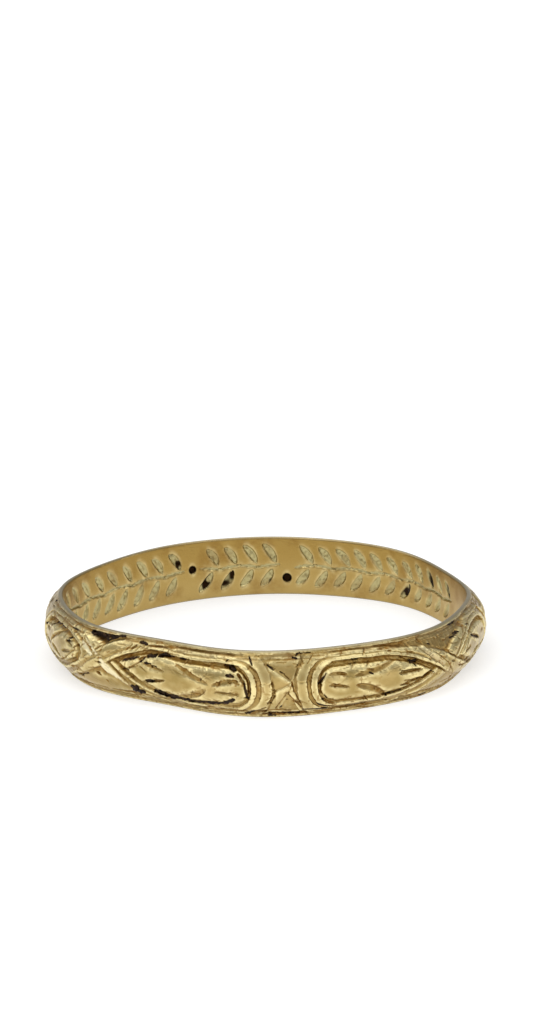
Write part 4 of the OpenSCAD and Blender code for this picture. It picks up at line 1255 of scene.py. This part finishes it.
hand = np.random.default_rng(CHAIN_SEED)
spots, links, widths, outward = [], [], [], []
for line in (line for line in LINES if line.black >= HOLDS):
    reach = turn(line.b1, line.b0)
    pieces = max(2, math.ceil(math.hypot(reach * MM_DEG, line.v1 - line.v0) / CHAIN_STEP))
    for k in range(pieces + 1):
        share = k / pieces
        point, out = on_band(line.b0 + share * reach + hand.normal(0, 0.08),
                             mix(line.v0, line.v1, share) + hand.normal(0, 0.012))
        if k:
            links.append((len(spots) - 1, len(spots)))
        spots.append(point)
        widths.append((1.15 * line.half + 0.01) * MM * hand.uniform(0.8, 1.3))
        outward.append(out)
chains = bpy.data.meshes.new("enamel_chains")
chains.from_pydata([tuple(p) for p in spots], links, [])
set_attribute(chains, "half_width", widths)
set_attribute(chains, "outward", outward)
print("enamel chains:", len(spots), "points")

# %% [markdown]
# ## Weathered black glass
# Enamel is glass, but what is left of it is crazed and dusty. A low specular level and some
# roughness stop the crumbs from sparkling, and a browner tone shows where they have weathered.

# %% Weathered black enamel
ENAMEL_BLACK = "#24160a"
ENAMEL_WEATHERED = "#54381c"


def black_enamel():
    """Fired black glass, dulled by age and a little brown where it has weathered."""
    material, tree, shader = new_material("fired_black_enamel")
    coords = add_node(tree, "ShaderNodeTexCoord").outputs["Object"]
    weather = noise_texture(tree, coords, 1 / (0.15 * MM), 3.0)["Fac"]
    tone = mix_colours(tree, remap(tree, weather, 0.5, 0.75), linear(ENAMEL_BLACK),
                       linear(ENAMEL_WEATHERED))
    tree.links.new(tone, shader.inputs["Base Color"])
    shader.inputs["Roughness"].default_value = 0.45
    shader.inputs["Specular IOR Level"].default_value = 0.15
    return material


# %% [markdown]
# ## Growing the crumbs with nodes
# The tree resamples each chain, sweeps a circle along it with a lumpy radius that tapers to both
# ends, presses the sweep against the gold and shakes it. Four inputs stay open: the spacing of
# the rings, how flat the lumps are, how ragged, and how large.

# %% Nodes that grow the crumbs
def crumbs_tree(material):
    """Chain of points in, closed ragged lumps out."""
    tree = bpy.data.node_groups.new("enamel_crumbs", "GeometryNodeTree")
    face = tree.interface
    face.new_socket("Geometry", in_out="INPUT", socket_type="NodeSocketGeometry")
    for name in ("Spacing", "Flatness", "Raggedness", "Lump Size"):
        face.new_socket(name, in_out="INPUT", socket_type="NodeSocketFloat")
    face.new_socket("Geometry", in_out="OUTPUT", socket_type="NodeSocketGeometry")
    given = tree.nodes.new("NodeGroupInput").outputs

    half_width, outward, spine = [
        add_node(tree, "GeometryNodeInputNamedAttribute", {"Name": name},
                 data_type=kind).outputs["Attribute"]
        for name, kind in [("half_width", "FLOAT"), ("outward", "FLOAT_VECTOR"),
                           ("spine", "FLOAT_VECTOR")]]
    curves = add_node(tree, "GeometryNodeMeshToCurve", {"Mesh": given["Geometry"]}).outputs["Curve"]
    even = add_node(tree, "GeometryNodeResampleCurve", {
        "Curve": curves, "Length": given["Spacing"]}, mode="LENGTH").outputs["Curve"]
    here = add_node(tree, "GeometryNodeInputPosition").outputs["Position"]
    marked = add_node(tree, "GeometryNodeStoreNamedAttribute", {
        "Geometry": even, "Name": "spine", "Value": here}, data_type="FLOAT_VECTOR",
        domain="POINT").outputs["Geometry"]
    # A chain's radius: its own half width, lumpy, and thin toward both ends
    along = add_node(tree, "GeometryNodeSplineParameter").outputs["Factor"]
    taper = remap(tree, maths(tree, "PINGPONG", along, 0.5), 0.0, 0.22, 0.3, 1.0)
    scale = maths(tree, "DIVIDE", 1.0, given["Lump Size"])
    lumps = noise_texture(tree, here, scale, 1.0)["Fac"]
    radius = maths(tree, "MULTIPLY", maths(tree, "MULTIPLY", half_width, taper),
                   remap(tree, lumps, 0.3, 0.7, 0.6, 1.4))
    circle = add_node(tree, "GeometryNodeCurvePrimitiveCircle", {"Resolution": 8, "Radius": 1.0})
    tube = add_node(tree, "GeometryNodeCurveToMesh", {
        "Curve": marked, "Profile Curve": circle.outputs["Curve"], "Scale": radius,
        "Fill Caps": True}).outputs["Mesh"]
    # Pressed flat against the gold: the outward part of each point's way from the spine shrinks
    away = vector_maths(tree, "SUBTRACT", here, spine)
    press = vector_maths(tree, "SCALE", vector_maths(tree, "PROJECT", away, outward),
                         given["Flatness"])
    flat = add_node(tree, "GeometryNodeSetPosition", {
        "Geometry": tube, "Position": vector_maths(tree, "SUBTRACT", here, press)})
    # Shaken by noise as coarse as the lumps
    rough = noise_texture(tree, here, scale, 1.0)["Color"]
    shake = vector_maths(tree, "SCALE", vector_maths(tree, "SUBTRACT", rough, (0.5, 0.5, 0.5)),
                         given["Raggedness"])
    ragged = add_node(tree, "GeometryNodeSetPosition", {
        "Geometry": flat.outputs["Geometry"], "Offset": shake})
    soft = add_node(tree, "GeometryNodeSetShadeSmooth", {
        "Geometry": ragged.outputs["Geometry"], "Shade Smooth": True})
    done = add_node(tree, "GeometryNodeSetMaterial", {
        "Geometry": soft.outputs["Geometry"], "Material": material})
    end = tree.nodes.new("NodeGroupOutput")
    tree.links.new(done.outputs["Geometry"], end.inputs["Geometry"])
    return tree


def grow(name, mesh, tree, settings):
    """Runs a node tree on a mesh and keeps the result as a plain mesh of its own."""
    obj = add_object(name, mesh)
    modifier = obj.modifiers.new("grow", "NODES")
    modifier.node_group = tree
    for item in tree.interface.items_tree:
        if item.in_out == "INPUT" and item.name in settings:
            modifier[item.identifier] = settings[item.name]
    bpy.context.view_layer.update()
    ready = obj.evaluated_get(bpy.context.evaluated_depsgraph_get())
    plain = bpy.data.meshes.new_from_object(ready)
    obj.modifiers.remove(modifier)
    obj.data = plain
    plain.name = name
    return obj


enamel = grow("enamel_remnants", chains, crumbs_tree(black_enamel()), {
    "Spacing": 0.04 * MM, "Flatness": 0.6, "Raggedness": 0.035 * MM, "Lump Size": 0.13 * MM})
print("enamel:", len(enamel.data.polygons), "faces")

# %% [markdown]
# ## Studio
# The ring lies on a light table under soft lamps, so its shadow is faint. A pale room all round
# it fills the gold with soft reflections, and small lamps make its facets and ridges flash.

# %% Light table, lamps and world
# The table's radius in metres, its sides, and the two whites that cloud over each other
FLOOR_RADIUS = 2.5
FLOOR_SIDES = 96
OPAL = ("#bcbcbb", "#c1c1c0")
# How far behind the ring's middle in mm, and how strongly the table glows there
GLOW_FRONT = (-15, 0.88)
GLOW_BACK = (-3, 0.58)


def opal_acrylic():
    """A light table's opal acrylic. It lets half of the light through and throws half back, and
    the lamps below it make it a soft light of its own, which fills the shadows."""
    material, tree, shader = new_material("opal_acrylic_light_table")
    coords = add_node(tree, "ShaderNodeTexCoord").outputs["Object"]
    cast = noise_texture(tree, coords, 1 / (8 * MM), 3.0)["Fac"]
    tree.links.new(mix_colours(tree, cast, *map(linear, OPAL)), shader.inputs["Base Color"])
    shader.inputs["Roughness"].default_value = 0.9
    # The lamps below stand toward the front, so the table glows more there than behind the ring
    depth = add_node(tree, "ShaderNodeSeparateXYZ", {"Vector": coords}).outputs["Y"]
    glow = remap(tree, depth, GLOW_FRONT[0] * MM, GLOW_BACK[0] * MM, GLOW_FRONT[1], GLOW_BACK[1])
    shader.inputs["Emission Color"].default_value = linear("#ffffff")
    tree.links.new(glow, shader.inputs["Emission Strength"])
    return material


def floor_disc(radius, sides):
    """The light table, round and flat."""
    mesh = bpy.data.meshes.new("floor")
    corners = [2 * math.pi * k / sides for k in range(sides)]
    mesh.from_pydata([(radius * math.cos(a), radius * math.sin(a), 0) for a in corners], [],
                     [list(range(sides))])
    mesh.materials.append(opal_acrylic())
    return add_object("floor", mesh)


floor = floor_disc(FLOOR_RADIUS, FLOOR_SIDES)


def lamp(name, place_m, size, power):
    """A soft lamp that looks at the ring."""
    light = bpy.data.lights.new(name, "AREA")
    light.shape = "RECTANGLE"
    light.size, light.size_y = size
    light.energy = power
    obj = add_object(name, light)
    obj.location = place_m
    obj.rotation_euler = (-Vector(place_m)).to_track_quat("-Z", "Y").to_euler()


# Place and size in metres and power in watts: a large dim lamp over the ring, and small bright
# ones that the facets and ridges catch
lamp("lamp_top", (-0.05, 0.10, 0.40), (0.50, 0.42), 0.55)
lamp("lamp_front_left", (-0.16, -0.26, 0.30), (0.11, 0.11), 0.10)
lamp("lamp_front_right", (0.20, -0.22, 0.24), (0.11, 0.11), 0.07)
lamp("lamp_low_left", (-0.38, -0.066, 0.105), (0.12, 0.12), 0.11)
lamp("lamp_low_right", (0.38, -0.02, 0.08), (0.08, 0.08), 0.07)
lamp("lamp_high_left", (-0.30, 0.12, 0.245), (0.09, 0.09), 0.06)


def studio_room():
    """A pale room: brightest overhead, darker at the sides and behind."""
    world = bpy.data.worlds.new("studio_room")
    world.use_nodes = True
    tree = world.node_tree
    way = add_node(tree, "ShaderNodeTexCoord").outputs["Generated"]
    parts = add_node(tree, "ShaderNodeSeparateXYZ", {"Vector": way}).outputs
    sideways = maths(tree, "ABSOLUTE", parts["X"])
    strength = maths(tree, "MULTIPLY", remap(tree, parts["Z"], 0.0, 0.7, 0.72, 0.86),
                     remap(tree, parts["Y"], 0.2, 0.9, 1.0, 0.62))
    strength = maths(tree, "MULTIPLY", strength, remap(tree, sideways, 0.35, 0.95, 1.0, 0.45))
    tree.links.new(strength, tree.nodes["Background"].inputs["Strength"])
    tree.nodes["Background"].inputs["Color"].default_value = linear("#ffffff")
    return world


bpy.context.scene.world = studio_room()
bpy.context.scene.view_settings.view_transform = "Standard"

# %% [markdown]
# ## A long lens
# A ring this small is photographed from about a quarter of a metre, with a long lens, so it
# shows almost no perspective. The camera looks down on it at 17 degrees. Its numbers come from
# fitting the ring's outline and the places of its carving.

# %% Camera
# The picture's size and the lens's focal length in pixels, the way to the ring's middle in mm,
# two angles in degrees, the roll in radians, and the pixel where the ring's middle stands
PICTURE = (539, 1024)
FOCAL_PX = 5560
DISTANCE = 254.1
AZIMUTH = 0.26
ELEVATION = 17.39
ROLL = 0.027
RING_AT = (269.06, 622.61)
SENSOR = 36

ring_middle = Vector((-CENTRE[0], -CENTRE[1], HALF)) * MM
a, e = math.radians(AZIMUTH), math.radians(ELEVATION)
toward = Vector((math.sin(a) * math.cos(e), -math.cos(a) * math.cos(e), math.sin(e)))
right = Vector((math.cos(a), math.sin(a), 0))
up = toward.cross(right)
rolled_right = right * math.cos(ROLL) - up * math.sin(ROLL)
rolled_up = up * math.cos(ROLL) + right * math.sin(ROLL)
straight = Matrix((rolled_right, rolled_up, toward)).transposed()
# Turned a little, so that the ring stands below the middle of the picture as in the photograph
seen = Vector((RING_AT[0] - PICTURE[0] / 2, PICTURE[1] / 2 - RING_AT[1], -FOCAL_PX)).normalized()
tilt = seen.rotation_difference(Vector((0, 0, -1))).to_matrix()
camera_data = bpy.data.cameras.new("camera")
camera_data.sensor_fit = "VERTICAL"
camera_data.sensor_height = SENSOR
camera_data.lens = FOCAL_PX / PICTURE[1] * SENSOR
camera_data.clip_start = 0.01
camera = add_object("camera", camera_data)
camera.matrix_world = (Matrix.Translation(ring_middle + toward * DISTANCE * MM)
                       @ (straight @ tilt).to_4x4())
bpy.context.scene.camera = camera
print("camera at", [round(1000 * c, 1) for c in camera.location], "mm")
print("lens", round(camera_data.lens, 1), "mm")

# %% [markdown]
# ## Handing over
# The four quarters together stand in for the CAD model's band, and the crumbs ride along with
# them. The floor belongs to the stage, not to the ring.

# %% Hand over to the frame
for obj in quarters:
    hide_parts("band")
    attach(obj, "root")
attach(enamel, "root")
